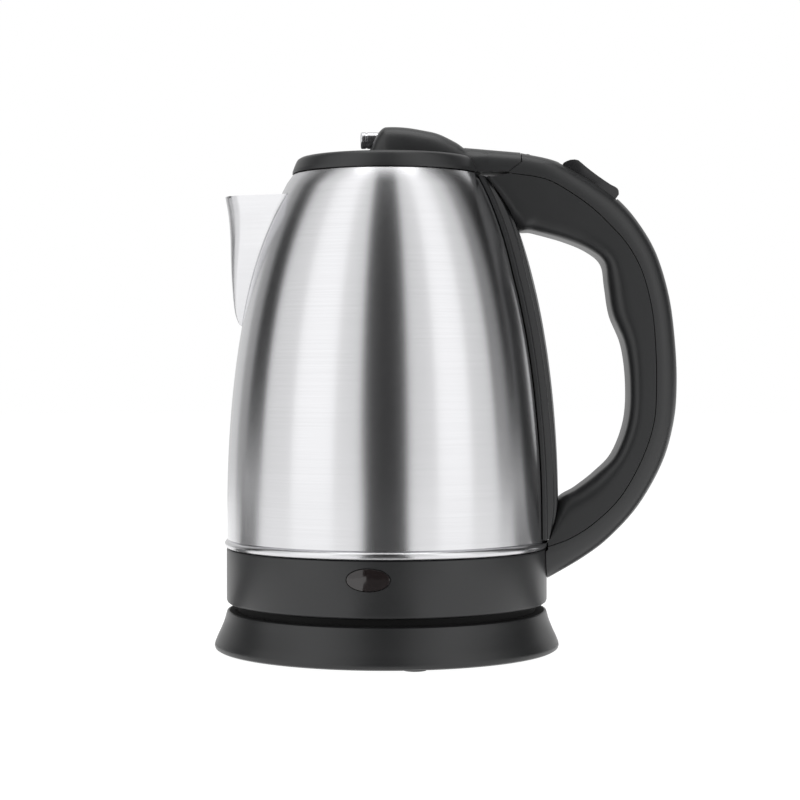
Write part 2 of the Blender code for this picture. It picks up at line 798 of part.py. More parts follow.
def make_base_collar():
    inside = COLLAR_R - PLASTIC
    outline = [
        (COLLAR_R - 0.5, COLLAR_TOP_Z),
        (COLLAR_R, COLLAR_TOP_Z - 0.5),
        (COLLAR_R, COLLAR_Z + 1.4),
        (COLLAR_R - 0.9, COLLAR_Z),
        (inside, COLLAR_Z),
        (inside, COLLAR_TOP_Z),
    ]
    collar = turned("base_collar", outline, BLACK)
    for i, spot in enumerate(cover_screw_spots()):
        low, high = spot.z + COVER_T, COLLAR_TOP_Z - 6
        foot, top = Vector((spot.x, spot.y, low)), Vector((spot.x, spot.y, high))
        join(collar, rod(f"collar_boss_{i + 1}", BOSS_R, foot, top))
        angle = math.atan2(spot.y, spot.x)
        middle = Vector((math.cos(angle), math.sin(angle))) * (inside - 3.5)
        web = box(f"collar_web_{i + 1}", (9, 3, high - low - 1), (*middle, (low + high) / 2))
        web.rotation_euler.z = angle
        join(collar, web)
        below = Vector((spot.x, spot.y, COLLAR_Z))
        cut(collar, rod(f"collar_bore_{i + 1}", SCREW_SHANK_R + GAP, below, foot + Vector((0, 0, 9))))
    cut(collar, lens_prism("lens_hole", GAP, COLLAR_R - 12, COLLAR_R + 6))
    cut(collar, rod("wire_hole", 3.4, (COLLAR_R - 6, 0, wire_exit_z()), (COLLAR_R + 6, 0, wire_exit_z())))


def wire_exit_z():
    return COLLAR_Z + 0.75 * COLLAR_H


def cover_screw_spots():
    radius = COLLAR_R - PLASTIC - BOSS_R - 3
    return [around(radius, 60 + 120 * i, COLLAR_Z + GAP + 1.2) for i in range(3)]


def make_bottom_cover():
    low = COLLAR_Z + GAP
    inner, outer = PLUG_R + SEAT_GAP, COLLAR_R - PLASTIC - SEAT_GAP
    cover = ring("bottom_cover", inner, outer, low, low + COVER_T, BLACK, 32)
    for i, spot in enumerate(cover_screw_spots()):
        cut(cover, screw_hole(f"cover_hole_{i + 1}", spot, (0, 0, 1), COVER_T + 2))
        screw(f"bottom_screw_{i + 1}", spot, (0, 0, 1), 8.0)


def lens_prism(name, grow, near, far):
    """The lens's oval, made larger by `grow`, as a prism that runs out through the skirt's front."""
    steps = 28
    z = COLLAR_Z + LENS_UP
    angles = [TAU * i / steps for i in range(steps)]
    half_x, half_z = LENS_HALF[0] + grow, LENS_HALF[1] + grow
    oval = [(LENS_X + half_x * math.cos(a), z + half_z * math.sin(a)) for a in angles]
    return extruded(name, oval, "Y", -far, -near)


def make_indicator():
    z = COLLAR_Z + LENS_UP
    lens = ring("indicator_lens", COLLAR_R - 3.4, COLLAR_R + 0.5, z - 8, z + 8, LENS_DARK, 96)
    boolean(lens, "INTERSECT", lens_prism("lens_outline", 0, COLLAR_R - 12, COLLAR_R + 6))
    y = 8 - COLLAR_R
    rod("neon_lamp", 2.4, (LENS_X - 5, y, z), (LENS_X + 5, y, z), GLASS)


# ---------------------------------------------------------------- heating and control


def make_heating():
    inside = BODY_R - STEEL - SEAT_GAP
    plate_z = WALL_FOOT_Z + 1.7
    outline = [
        (0, plate_z + 1.0),
        (inside - 3, plate_z + 1.0),
        (inside, plate_z + 3.0),
        (inside, plate_z + 2.0),
        (inside - 3, plate_z),
        (0, plate_z),
    ]
    turned("element_plate", outline, STEEL_FINISH, 32)
    spreader_z = plate_z - GAP - 1.4
    spreader = [(0, spreader_z + 1.4), (54, spreader_z + 1.4), (54, spreader_z), (0, spreader_z)]
    turned("heat_spreader", spreader, STEEL_FINISH, 32)
    tube_r = 3.2
    tube_z = spreader_z - GAP - tube_r
    sweep = [around(44, mixed(25, 335, i / 26), tube_z) for i in range(27)]
    wire("heating_element", sweep, tube_r, STEEL_FINISH)
    disc_z = spreader_z - GAP - 0.7
    for i, side in enumerate((-1, 1)):
        disc = ring(f"bimetal_disc_{i + 1}", 1.5, 9.0, disc_z, disc_z + 0.7, BRASS, 20)
        disc.location.y = side * 12 * MM
    control_z = PLUG_TOP_Z + GAP
    height = disc_z - GAP - control_z
    box("controller", (38, 46, height), (0, 0, control_z + height / 2), SOFT_BLACK, 1.5)


# ---------------------------------------------------------------- handle


def handle_points(index):
    return [off_wall(*station[index]) for station in HANDLE_STATIONS]


def handle_rings(steps):
    """(inner edge, seam, outer edge) of the handle, evenly along its length."""
    return list(zip(*[smooth_path(handle_points(index), steps) for index in (INNER, SEAM, OUTER)]))


def section(start, end, outline):
    """Points of a (share across, y) outline that spans from one edge of the handle to another."""
    return [start + (end - start) * across + Vector((0, y, 0)) for across, y in outline]


def grip_corner(half, radius, floor):
    """The rounded corner from a side at `half` to a bottom at `floor`, as (across, y)."""
    angles = [math.radians(angle) for angle in (0, 45, 90)]
    return [
        (floor + radius * (1 - math.sin(a)), half - radius * (1 - math.cos(a))) for a in angles
    ]


def grip_outline(height, wall, floor):
    """Half of the grip's U, outside and inside: from the seam down its side and round the corner."""
    round_r = min(7.0, 0.45 * height)
    half = HANDLE_HALF_W
    outer = [(height, half), *grip_corner(half, round_r, 0)]
    inside = [(height, half - wall), *grip_corner(half - wall, max(round_r - wall, 0.6), floor)]
    return outer, inside


def grip_ring(inner, seam, solid):
    height = (seam - inner).length
    floor = min(HANDLE_WALL, 0.6 * height)
    outer, inside = grip_outline(height, HANDLE_WALL, floor)
    if solid:
        inside = [(height - 0.1 * i, y) for i, (_, y) in enumerate(inside)]
    right = outer + [(u, -v) for u, v in outer[::-1]]
    back = [(u, -v) for u, v in inside] + inside[::-1]
    return section(inner, seam, [(u / height, v) for u, v in right + back])


def cover_ring(seam, outer, solid):
    """The cover's shallow bowl, from its edge at the seam over its rounded back."""
    height = (outer - seam).length
    start = SEAM_GAP / height
    steps = 6
    angles = [math.pi * i / steps for i in range(steps + 1)]
    power = 0.62

    def bowl(half, low, high):
        points = []
        for a in angles:
            y = math.copysign(abs(math.cos(a)) ** power, math.cos(a)) * half
            points.append((low + (high - low) * math.sin(a) ** power, y))
        return points

    wall = HANDLE_WALL / height
    roof = start + 0.04 if solid else max(1 - wall, start + 0.04)
    outside = bowl(HANDLE_HALF_W, start, 1)
    hollow = bowl(HANDLE_HALF_W - HANDLE_WALL, start, roof)
    return section(seam, outer, outside + hollow[::-1])


def strip_thickness(z):
    """The strip's thickness: full along the middle, thin at both ends."""
    share = (z - WALL_FOOT_Z) / WALL_HEIGHT
    end = min(share / 0.11, (1 - share) / 0.13, 1)
    return mixed(STRIP_FLANGE_T, STRIP_T, math.sin(max(end, 0) * math.pi / 2))


def strip_offset(z):
    return SEAT_GAP + strip_thickness(z)


def handle_envelope(name):
    """What the handle keeps clear of: the strip all round the wall, the bead and the skirt."""
    low, high = COLLAR_Z - 5, MOUTH_Z
    heights = wall_heights(WALL_FOOT_Z + 1, high - 1, 24)
    outer = [(wall_radius(z) + strip_offset(z) + GAP, z) for z in heights]
    bead = BODY_R + BEAD_OUT + SEAT_GAP
    outline = [(0, high + 20), (MOUTH_R - 10, high + 20), (MOUTH_R - 10, high), (outer[-1][0] - 0.6, high)]
    outline += outer[::-1] + [(bead, WALL_FOOT_Z + 0.5), (bead, low), (0, low)]
    return turned(name, outline, segments=80)


def switch_frame():
    """Where the rocker sits: its middle on the handle's back, and the ways along and out."""
    before, here = (off_wall(*HANDLE_STATIONS[SWITCH_STATION + i][OUTER]) for i in (-1, 0))
    along = (here - before).normalized()
    out = Vector((-along.z, 0, along.x))
    if out.z < 0:
        out = -out
    return mixed(before, here, 0.75) + out * 0.4, along, out


def in_switch(along_it, out_of_it, y=0.0):
    middle, along, out = switch_frame()
    return middle + along * along_it + out * out_of_it + Vector((0, y, 0))


def switch_tilt():
    """Degrees about +Y that turn +X along the handle's back."""
    along = switch_frame()[1]
    return math.degrees(math.atan2(-along.z, along.x))


def make_handle():
    rings = handle_rings(2)
    last = len(rings) - 1
    grip_rings = [grip_ring(inner, seam, i in (0, last)) for i, (inner, seam, _) in enumerate(rings)]
    grip = lofted("handle_grip", grip_rings, BLACK)
    cover_rings = [cover_ring(seam, outer, i == last) for i, (_, seam, outer) in enumerate(rings)]
    cover = lofted("handle_cover", cover_rings, BLACK)
    ear_x, ear_z = HINGE.x + 1.0, HINGE.z - 1.5
    for side in (-1, 1):
        y = side * (KNUCKLE_HALF_W + SHADOW_GAP + 1.6)
        join(cover, box(f"hinge_ear_{side}", (6.5, 3.2, 5.0), (ear_x, y, ear_z)))
    slot_half = KNUCKLE_HALF_W + SHADOW_GAP
    slot = box("hinge_slot", (16, 2 * slot_half, 14), (HINGE.x - 8 + KNUCKLE_R + 0.8, 0, HINGE.z - 0.5))
    reach = Vector((0, HANDLE_HALF_W, 0))
    bore = rod("hinge_bore", HINGE_PIN_R + GAP, HINGE - reach * 0.64, HINGE + reach * 0.64)
    window_size = (31.0, 2 * ROCKER_HALF_W + 0.8, 26)
    window = box("switch_window", window_size, in_switch(-0.4, 1.0), tilt=switch_tilt())
    wires = rod("cover_wire_hole", 5.0, (COLLAR_R, 0, wire_exit_z()), (COLLAR_R + 10, 0, wire_exit_z()))
    cut(cover, slot, bore, window, tongue_room(), handle_envelope("cover_envelope"), wires)
    cut(grip, handle_envelope("grip_envelope"))
    cut(grip, steam_hole("grip_steam_hole", STEAM_HOLE_R + STEAM_ROOM, end=20))
    pin_reach = Vector((0, KNUCKLE_HALF_W + SHADOW_GAP + 3.0, 0))
    rod("hinge_pin", HINGE_PIN_R, HINGE - pin_reach, HINGE + pin_reach, CHROME, 12)


def tongue_end():
    """The (x, z) corners of the tongue's slanted end: its foot, its kink and its top."""
    return (
        (HINGE.x - 9.2, LID_Z + 0.1),
        (HINGE.x - 3.4, LID_Z + 4.6),
        (HINGE.x - 3.4, LID_Z + HUMP_H - 11.4),
    )


def tongue_room():
    """The room that the handle's front leaves for the tongue."""
    foot, kink, top = [(x + SHADOW_GAP, z) for x, z in tongue_end()]
    outline = [(foot[0] - 2, foot[1] - 1.6), kink, (top[0], top[1] + 10), (MOUTH_R - 5, top[1] + 10)]
    return extruded("tongue_room", [*outline, (MOUTH_R - 5, foot[1] - 1.6)], "Y", -20, 20)


def strip_half_width(z):
    share = (z - WALL_FOOT_Z) / WALL_HEIGHT
    middle = min(share / 0.35, 1)
    foot = mixed(STRIP_HALF_W - 3, STRIP_HALF_W, middle)
    return mixed(foot, STRIP_TOP_HALF_W, max((share - 0.72) / 0.28, 0))


def strip_ring(z):
    """The strip's level outline: flange, raised panel, and a channel for wires at the back."""
    half = strip_half_width(z)
    thick = strip_thickness(z)
    flange = min(STRIP_FLANGE_T, 0.8 * thick)
    channel = min(CHANNEL_D, thick - 0.9)
    front = [
        (half, 0),
        (half, flange),
        (half - 3.0, flange),
        (half - 4.0, mixed(flange, thick, 0.7)),
        (half - 6.5, mixed(flange, thick, 0.7)),
        (half - 7.5, thick),
        (0.4 * half, thick),
    ]
    back = [
        (CHANNEL_HALF_W, channel),
        (CHANNEL_HALF_W, 0),
        (mixed(CHANNEL_HALF_W, half, 0.35), 0),
        (mixed(CHANNEL_HALF_W, half, 0.70), 0),
    ]
    mirrored = [(-y, h) for y, h in front[::-1]]
    mirrored_back = [(-y, h) for y, h in back[::-1]]
    base_r = wall_radius(z) + SEAT_GAP
    outline = front + mirrored + mirrored_back + back
    return [(math.sqrt((base_r + h) ** 2 - y * y), y, z) for y, h in outline]


def make_handle_strip():
    low, high = WALL_FOOT_Z + 0.8, MOUTH_Z - 1.2
    heights = wall_heights(low, high, 14)
    strip = lofted("handle_strip", [strip_ring(z) for z in heights], BLACK)
    cut(strip, steam_hole("strip_steam_hole", STEAM_HOLE_R + STEAM_ROOM))
    for place, share in BRACKET_SHARES.items():
        z = wall_z(share)
        radius = wall_radius(z)
        top = radius + strip_offset(z)
        seat = Vector((top - SCREW_HEAD_H - 0.2, 0, z))
        cut(strip, screw_hole(f"strip_hole_{place}", seat, (-1, 0, 0), 8))
        name = f"bracket_{place}"
        bracket = wall_skin(name, SEAT_GAP, SEAT_GAP + 1.2, z - 8, z + 8, 4, STEEL_FINISH)
        boolean(bracket, "INTERSECT", box(f"{name}_block", (40, 10, 2 * BRACKET_HALF_H), (radius, 0, z)))
        start, end = (radius - 8, 0, z), (radius + 8, 0, z)
        cut(bracket, rod(f"{name}_bore", SCREW_SHANK_R + GAP, start, end))
        screw(f"handle_screw_{place}", seat, (-1, 0, 0), seat.x - radius - SEAT_GAP - 0.3)


def make_hinge_and_switch():
    tilt = switch_tilt()
    outline = [
        (-14.2, -0.4),
        (-12.6, 2.0),
        (-9.0, 4.0),
        (-7.2, 3.7),
        (-1.2, 2.8),
        (5.1, 2.2),
        (9.0, 1.9),
        (11.2, 2.1),
        (13.0, 1.8),
        (14.4, 0.0),
        (14.0, -3.6),
        (4.0, -10.4),
        (-4.0, -10.4),
        (-13.6, -3.6),
    ]
    placed = [in_switch(*point) for point in outline]
    flat = [(point.x, point.z) for point in placed]
    pivot = in_switch(0, -ROCKER_PIVOT_DEPTH)
    rocker = extruded("switch_rocker", flat, "Y", -ROCKER_HALF_W, ROCKER_HALF_W, BLACK)
    side = Vector((0, ROCKER_HALF_W + 2.6, 0))
    cut(rocker, rod("rocker_bore", ROCKER_PIN_R + GAP, pivot - side, pivot + side))
    rod("rocker_pin", ROCKER_PIN_R, pivot - side, pivot + side, CHROME, 12)
    housing = box("switch_housing", (20, 17, 7), in_switch(0, -15.5), GREY, tilt=tilt)
    for sign in (-1, 1):
        y = sign * (ROCKER_HALF_W + 1.5)
        ear = box(f"rocker_ear_{sign}", (7, 1.8, 12), in_switch(0, -12.2, y), tilt=tilt)
        link = box(f"rocker_link_{sign}", (7, 3.4, 3), in_switch(0, -16.6, y - sign * 0.8), tilt=tilt)
        join(housing, ear, link)
    cut(housing, rod("housing_bore", ROCKER_PIN_R + GAP, pivot - side * 2, pivot + side * 2))


def make_steam_path():
    """A silicone tube from the steam hole to the bimetal disc beside the switch."""
    start = off_wall(SEAT_GAP + 1.2, steam_share())
    end = in_switch(-14.5, -18.0)
    tube = rod("steam_tube", STEAM_HOLE_R + 1.0, start, end, SILICONE, 12)
    reach = (end - start).normalized() * 4
    cut(tube, rod("steam_bore", STEAM_HOLE_R, start - reach, end + reach, segments=12))
    near = in_switch(-11.9, -15.0)
    far = in_switch(-11.2, -15.0)
    rod("steam_bimetal", 5.5, near, far, BRASS, 20)


def make_wires():
    """Two wires from the switch, down inside the handle and through the skirt to the controller."""
    rings = handle_rings(1)[6:-2]
    middle = [mixed(inner, outer, 0.5) for inner, _, outer in rings]
    hole = Vector((COLLAR_R - PLASTIC / 2, 0, wire_exit_z()))
    bottom = mixed(hole, middle[-1], 0.5)
    bottom.z = mixed(hole.z, middle[-1].z, 0.3)
    end = Vector((20.5, 0, hole.z))
    start = in_switch(6.0, -21.4)
    before, behind = hole + Vector((3, 0, 0)), hole - Vector((4, 0, 0))
    path = [start, *middle, bottom, before, behind, mixed(hole, end, 0.6), end]
    for name, side, finish in (("switch_wire_1", -1, WIRE_RED), ("switch_wire_2", 1, WIRE_BLUE)):
        spread = Vector((0, side * 1.6, 0))
        wire(name, [point + spread for point in path], 0.8, finish)


# ---------------------------------------------------------------- lid

PLUG_WALL_R = MOUTH_HOLE_R - 1.7
LATCH_Z = MOUTH_Z - 4.6
STOP_X = 17.5
BUTTON_BACK_X = 2.5


def hump_ring(x_top, top, half, grow=0.0, floor=None):
    """An arch across the lid, its top moved in by `grow`."""
    foot = LID_Z + 2.2 if floor is None else floor
    points = []
    for i in range(9):
        a = math.pi * i / 8
        y = math.copysign(abs(math.cos(a)) ** 0.6, math.cos(a)) * (half - grow)
        points.append((x_top, y, mixed(foot, top - grow, math.sin(a) ** 0.75)))
    return points


def hump_stations():
    """(x, top, half width) over the hump and back along the tongue to the hinge."""
    deck = LID_Z + LID_DOME_H
    top = LID_Z + HUMP_H
    nose = BUTTON_NOSE_X + 2.2
    return [
        (nose, deck, 0.62 * HUMP_HALF_W),
        (nose + 2.2, deck + 2.1, 0.74 * HUMP_HALF_W),
        (nose + 4.8, deck + 7.7, 0.86 * HUMP_HALF_W),
        (nose + 7.6, top - 0.8, 0.92 * HUMP_HALF_W),
        (nose + 10.6, top, 0.96 * HUMP_HALF_W),
        (nose + 18.1, top - 0.3, HUMP_HALF_W),
        (nose + 25.6, top - 1.5, HUMP_HALF_W),
        (nose + 32.9, top - 3.2, HUMP_HALF_W),
        (nose + 40.6, top - 7.0, HUMP_HALF_W),
        (nose + 46.3, top - 10.6, HUMP_HALF_W),
        (MOUTH_R + 2, top - 11.0, HUMP_HALF_W),
    ]


def tongue_ring(share):
    """The tongue's upright section, from the hump's back at 0 to its slanted end at 1."""
    foot, kink, top = [(mixed(MOUTH_R - 8, x, share), z) for x, z in tongue_end()]
    shoulder = (top[0], top[1] - 1.6)
    half = HUMP_HALF_W
    side = [(foot, half), (kink, half), (shoulder, half), (top, 0.86 * half)]
    points = [(x, -y, z) for (x, z), y in side]
    return points + [(x, y, z) for (x, z), y in side[::-1]]


def make_lid_cover():
    rim = LID_Z + LID_RIM_H
    deck = LID_Z + LID_DOME_H
    outline = [
        (0, deck),
        (0.25 * LID_R, deck - 0.2),
        (0.6 * LID_R, deck - 1.0),
        (LID_R - 3.4, rim),
        (LID_R - 1.6, rim - 2.0),
        (LID_R, LID_Z + 1.2),
        (LID_R, LID_Z),
        (LID_R - LID_WALL - 0.6, LID_Z),
        (LID_R - 3.4 - LID_WALL, rim - LID_WALL),
        (0, deck - LID_WALL),
    ]
    cover = turned("lid_cover", outline, BLACK)
    join(cover, lofted("hump", [hump_ring(*station) for station in hump_stations()]))
    join(cover, lofted("tongue", [tongue_ring(share) for share in (0, 0.5, 1)]))
    arm = box("knuckle_arm", (8, 2 * KNUCKLE_HALF_W, 3.4), (HINGE.x - 4.2, 0, HINGE.z + 0.2))
    ends = Vector((0, KNUCKLE_HALF_W, 0))
    join(cover, arm, rod("knuckle", KNUCKLE_R, HINGE - ends, HINGE + ends, segments=20))
    hollow_stations = [station for station in hump_stations()[2:9]]
    floor = LID_Z - 1
    hollow = [hump_ring(x + 1.5, top, half, LID_WALL, floor) for x, top, half in hollow_stations]
    cut(cover, lofted("hump_hollow", hollow))
    for i, side in enumerate((-1, 1)):
        foot = lid_screw_spot(side)
        top = Vector((foot.x, foot.y, LID_Z + 5.9))
        boss = rod(f"lid_boss_{i + 1}", 3.0, foot + Vector((0, 0, 2.4)), top)
        join(cover, boss)
        cut(cover, rod(f"lid_bore_{i + 1}", SCREW_SHANK_R + GAP, foot, foot + Vector((0, 0, 8.5))))
    stop = box("spring_stop", (2.4, 9, 14), (STOP_X + 1.2, 0, BUTTON_Z - 3.5))
    join(cover, stop)
    hole_start = (BUTTON_NOSE_X - 4, 0, BUTTON_Z)
    hole_end = (BUTTON_BACK_X + BUTTON_TRAVEL + 1, 0, BUTTON_Z)
    cut(cover, rod("button_hole", BUTTON_R + SEAT_GAP, hole_start, hole_end, segments=24))
    cut(cover, rod("knuckle_bore", HINGE_PIN_R + GAP, HINGE - ends * 3, HINGE + ends * 3))


def lid_screw_spot(side):
    return Vector((10, side * 24.0, MOUTH_Z - PLUG_DEPTH + 1.0))


def make_lid_inside():
    floor = MOUTH_Z - PLUG_DEPTH
    rim = LID_Z - GAP
    outline = [
        (0, floor + 1.4),
        (PLUG_WALL_R - 1.4, floor + 1.4),
        (PLUG_WALL_R - 1.4, rim),
        (PLUG_WALL_R, rim),
        (PLUG_WALL_R, floor + 0.8),
        (PLUG_WALL_R - 0.8, floor),
        (0, floor),
    ]
    plate = turned("lid_inner_plate", outline, STEEL_FINISH)
    slot = box("latch_slot", (14, 2 * LATCH_HALF_W + 1.0, 3.2), (-PLUG_WALL_R, 0, LATCH_Z))
    cut(plate, slot)
    for i, side in enumerate((-1, 1)):
        spot = lid_screw_spot(side)
        reach = Vector((0, 0, 4))
        cut(plate, rod(f"plate_bore_{i + 1}", SCREW_SHANK_R + GAP, spot - reach, spot + reach))
        screw(f"lid_screw_{i + 1}", spot - Vector((0, 0, 1.0 + GAP)), (0, 0, 1), 9.0)
    gasket_in = PLUG_WALL_R + GAP
    ring("lid_gasket", gasket_in, MOUTH_HOLE_R - 0.8, MOUTH_Z - 2.2, MOUTH_Z - 0.4, SILICONE, 32)


def make_lid_button():
    front, back = BUTTON_NOSE_X, BUTTON_BACK_X
    outline = [
        (0, back - front),
        (BUTTON_R, back - front),
        (BUTTON_R, 0.9),
        (BUTTON_R - 0.4, 0.2),
        (BUTTON_R - 1.0, 0),
        (0, 0),
    ]
    button = turned("lid_button", outline, CHROME, 24)
    button.location = Vector((front, 0, BUTTON_Z)) * MM
    button.rotation_euler.y = math.radians(90)
    nose_x = LATCH_BACK - MOUTH_HOLE_R
    link_x = back + GAP + 1.5
    bar_low = LATCH_Z - 1.0
    bar_size = (link_x - nose_x, 2 * LATCH_HALF_W, 2.0)
    bar = box("latch_bar", bar_size, ((link_x + nose_x) / 2, 0, LATCH_Z), BRASS)
    height = BUTTON_Z + 2.2 - bar_low
    join(bar, box("latch_link", (3.0, 2 * LATCH_HALF_W - 1, height), (link_x, 0, bar_low + height / 2)))
    start_x, end_x = link_x + 1.5 + 0.7, STOP_X - 0.7
    turns, per_turn, coil_r = 4, 7, 1.8
    count = turns * per_turn
    coil = []
    for i in range(count + 1):
        angle = TAU * i / per_turn
        x = mixed(start_x, end_x, i / count)
        coil.append((x, coil_r * math.cos(angle), BUTTON_Z + coil_r * math.sin(angle)))
    wire("button_spring", coil, 0.35, STEEL_FINISH)


# ---------------------------------------------------------------- assembly


def joint_empty(name, spot):
    empty = bpy.data.objects.new(name, None)
    PARTS.objects.link(empty)
    empty.location = Vector(spot) * MM
    empty.empty_display_size = 0.01
    return empty


def attach(parent, names):
    """Hangs pieces on an empty that stands on their joint's axis, without moving them."""
    for name in names:
        child = bpy.data.objects[name]
        child.parent = parent
        child.matrix_parent_inverse = Matrix.Translation(-parent.location)


LID_NAMES = ("lid_cover", "lid_inner_plate", "lid_gasket", "lid_screw_1", "lid_screw_2")
BUTTON_NAMES = ("lid_button", "latch_bar", "button_spring")
PLUG_NAMES = ("plug_housing", "plug_pin_live", "plug_ring_neutral", "plug_ring_earth")
BASE_WORDS = ("base_housing", "base_bottom", "base_socket", "base_screw", "rubber_foot", "socket_", "cord_")


def assemble():
    kettle = joint_empty("swivel_axis", (0, 0, 0))
    attach(joint_empty("lift_axis", (0, 0, 0)), PLUG_NAMES)
    attach(joint_empty("lid_axis", HINGE), LID_NAMES)
    attach(joint_empty("button_axis", (BUTTON_NOSE_X, 0, BUTTON_Z)), BUTTON_NAMES)
    attach(joint_empty("rocker_axis", in_switch(0, -ROCKER_PIVOT_DEPTH)), ("switch_rocker",))
    moving = {*LID_NAMES, *BUTTON_NAMES, *PLUG_NAMES, "switch_rocker"}
    pieces = [obj.name for obj in PARTS.objects if obj.type != "EMPTY"]
    fixed = [name for name in pieces if name not in moving and not name.startswith(BASE_WORDS)]
    attach(kettle, fixed)


def main():
    make_power_base()
    make_plug()
    make_kettle_body()
    make_spout()
    make_spout_filter()
    make_base_collar()
    make_bottom_cover()
    make_indicator()
    make_heating()
    make_handle()
    make_handle_strip()
    make_hinge_and_switch()
    make_steam_path()
    make_wires()
    make_lid_cover()
    make_lid_inside()
    make_lid_button()
    assemble()


main()
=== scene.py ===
# %% [markdown]
# # An electric kettle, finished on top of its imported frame
#
# The frame holds the kettle's real sizes, its loose pieces and its joints. This lesson builds the
# surfaces that the eye meets on top of it: brushed steel, satin plastic, a smoked lens. Each step
# first says what the piece is on the real kettle, how it could be made, and why one way was chosen.
#
# All sizes are in millimetres, the unit a maker would measure the kettle in, and `MM` turns them
# into Blender's metres at the moment a mesh is made.

import json
import math

import bpy
from mathutils import Matrix, Vector


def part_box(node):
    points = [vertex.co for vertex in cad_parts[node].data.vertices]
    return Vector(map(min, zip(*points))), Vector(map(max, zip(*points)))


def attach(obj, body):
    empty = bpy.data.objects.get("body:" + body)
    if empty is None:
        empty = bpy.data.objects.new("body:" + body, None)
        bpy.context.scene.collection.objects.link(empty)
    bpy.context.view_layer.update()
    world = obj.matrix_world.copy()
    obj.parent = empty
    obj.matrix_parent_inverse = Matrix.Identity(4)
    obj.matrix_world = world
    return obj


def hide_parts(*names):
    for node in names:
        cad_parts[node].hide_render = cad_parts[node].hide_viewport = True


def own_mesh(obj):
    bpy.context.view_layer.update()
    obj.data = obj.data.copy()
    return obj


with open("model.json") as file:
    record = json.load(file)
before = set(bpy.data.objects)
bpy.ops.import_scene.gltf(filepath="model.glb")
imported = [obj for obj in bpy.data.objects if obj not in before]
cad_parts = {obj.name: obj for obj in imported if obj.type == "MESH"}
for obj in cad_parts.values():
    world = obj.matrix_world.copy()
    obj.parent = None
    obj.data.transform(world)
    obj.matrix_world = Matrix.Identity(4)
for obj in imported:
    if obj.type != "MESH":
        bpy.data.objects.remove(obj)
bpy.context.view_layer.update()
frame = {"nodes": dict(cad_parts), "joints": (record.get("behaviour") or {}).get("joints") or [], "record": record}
NODES = frame["nodes"]
MM = 0.001

# %% [markdown]
# ## Reading sizes off the frame
#
# A new piece has to sit exactly where its plain twin sits. The twin's box gives most sizes, so
# they are read once here, and the shapes below are worked out from them.

# %% Sizes that the frame gives


def low(node):
    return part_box(node)[0] / MM


def high(node):
    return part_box(node)[1] / MM


def middle(node):
    return [(start + end) / 2 for start, end in zip(low(node), high(node))]


MOUTH_Z = high("kettle_body").z
BEAD_Z = low("kettle_body").z
BEAD_R = high("kettle_body").y
COLLAR_R = high("base_collar").y
COLLAR_Z = low("base_collar").z
COLLAR_TOP_Z = high("base_collar").z
BASE_R = high("base_housing").y
SEAT_Z = high("base_housing").z
BASE_EDGE_Z = low("base_housing").z
LID_R = high("lid_cover").y
LID_TOP_Z = high("lid_cover").z
PLASTIC = 2.4  # wall of the mouldings
STEEL = 0.8  # sheet thickness
BODY_R = COLLAR_R - 0.3  # the skirt stands a little proud of the steel
WALL_FOOT_Z = BEAD_Z + 3.5  # the rolled bead ends and the wall begins
WALL_H = MOUTH_Z - WALL_FOOT_Z
MOUTH_R = LID_R + 0.4
LID_Z = MOUTH_Z + 0.5  # the seal holds the lid off the lip
HINGE = Vector(next(j for j in frame["joints"] if j["name"] == "lid_hinge")["pos_m"]) / MM
print(f"mouth at {MOUTH_Z:.1f} mm, wall radius {BODY_R:.1f}, base radius {BASE_R:.1f}")

# %% [markdown]
# ## The steel wall's curve
#
# The vessel is spun from sheet: straight at the foot, then one long taper in to the mouth. One
# Bezier curve with four handles draws that taper, and everything fixed on the wall asks the same
# curve for its radius. A list of measured radii would do too, but it would show every small error
# as a ripple in the reflections.

# %% The wall's curve
TAPER_START, TAPER_EASE = 0.1, 0.05  # shares of the wall's height
MOUTH_LEAN, LEAN_SLOPE = 0.31, 0.58


def mixed(first, second, share):
    return first + (second - first) * share


def wall_curve(t):
    """(radius, height) up the tapered stretch, from its foot at 0 to the mouth at 1."""
    start_z, lean = WALL_FOOT_Z + TAPER_START * WALL_H, MOUTH_LEAN * WALL_H
    handles = (
        Vector((BODY_R, start_z)),
        Vector((BODY_R, start_z + TAPER_EASE * WALL_H)),
        Vector((MOUTH_R + LEAN_SLOPE * lean, MOUTH_Z - lean)),
        Vector((MOUTH_R, MOUTH_Z)),
    )
    weights = ((1 - t) ** 3, 3 * (1 - t) ** 2 * t, 3 * (1 - t) * t * t, t**3)
    return sum((w * handle for w, handle in zip(weights, handles)), Vector((0, 0)))


def wall_radius(z):
    """The curve is asked for ever closer heights until one is the height wanted."""
    bottom, top = 0.0, 1.0
    if z <= wall_curve(bottom).y:
        return BODY_R
    if z >= MOUTH_Z:
        return MOUTH_R
    for _ in range(40):
        guess = (bottom + top) / 2
        if wall_curve(guess).y < z:
            bottom = guess
        else:
            top = guess
    return wall_curve(bottom).x


def wall_z(share):
    return WALL_FOOT_Z + share * WALL_H


def off_wall(stand_off, share):
    """The point in the XZ plane that stands off the handle's side of the wall."""
    z = wall_z(share)
    return Vector((wall_radius(z) + stand_off, 0, z))


def smooth_path(points, steps):
    """Points on a smooth curve through the given ones, `steps` to each stretch."""
    points = [Vector(point) for point in points]
    run = [points[0] * 2 - points[1], *points, points[-1] * 2 - points[-2]]
    path = []
    for p0, p1, p2, p3 in zip(run, run[1:], run[2:], run[3:]):
        for step in range(steps):
            t = step / steps
            bend = 2 * p0 - 5 * p1 + 4 * p2 - p3
            swing = 3 * p1 - p0 - 3 * p2 + p3
            path.append((2 * p1 + (p2 - p0) * t + bend * t * t + swing * t**3) / 2)
    return [*path, points[-1]]


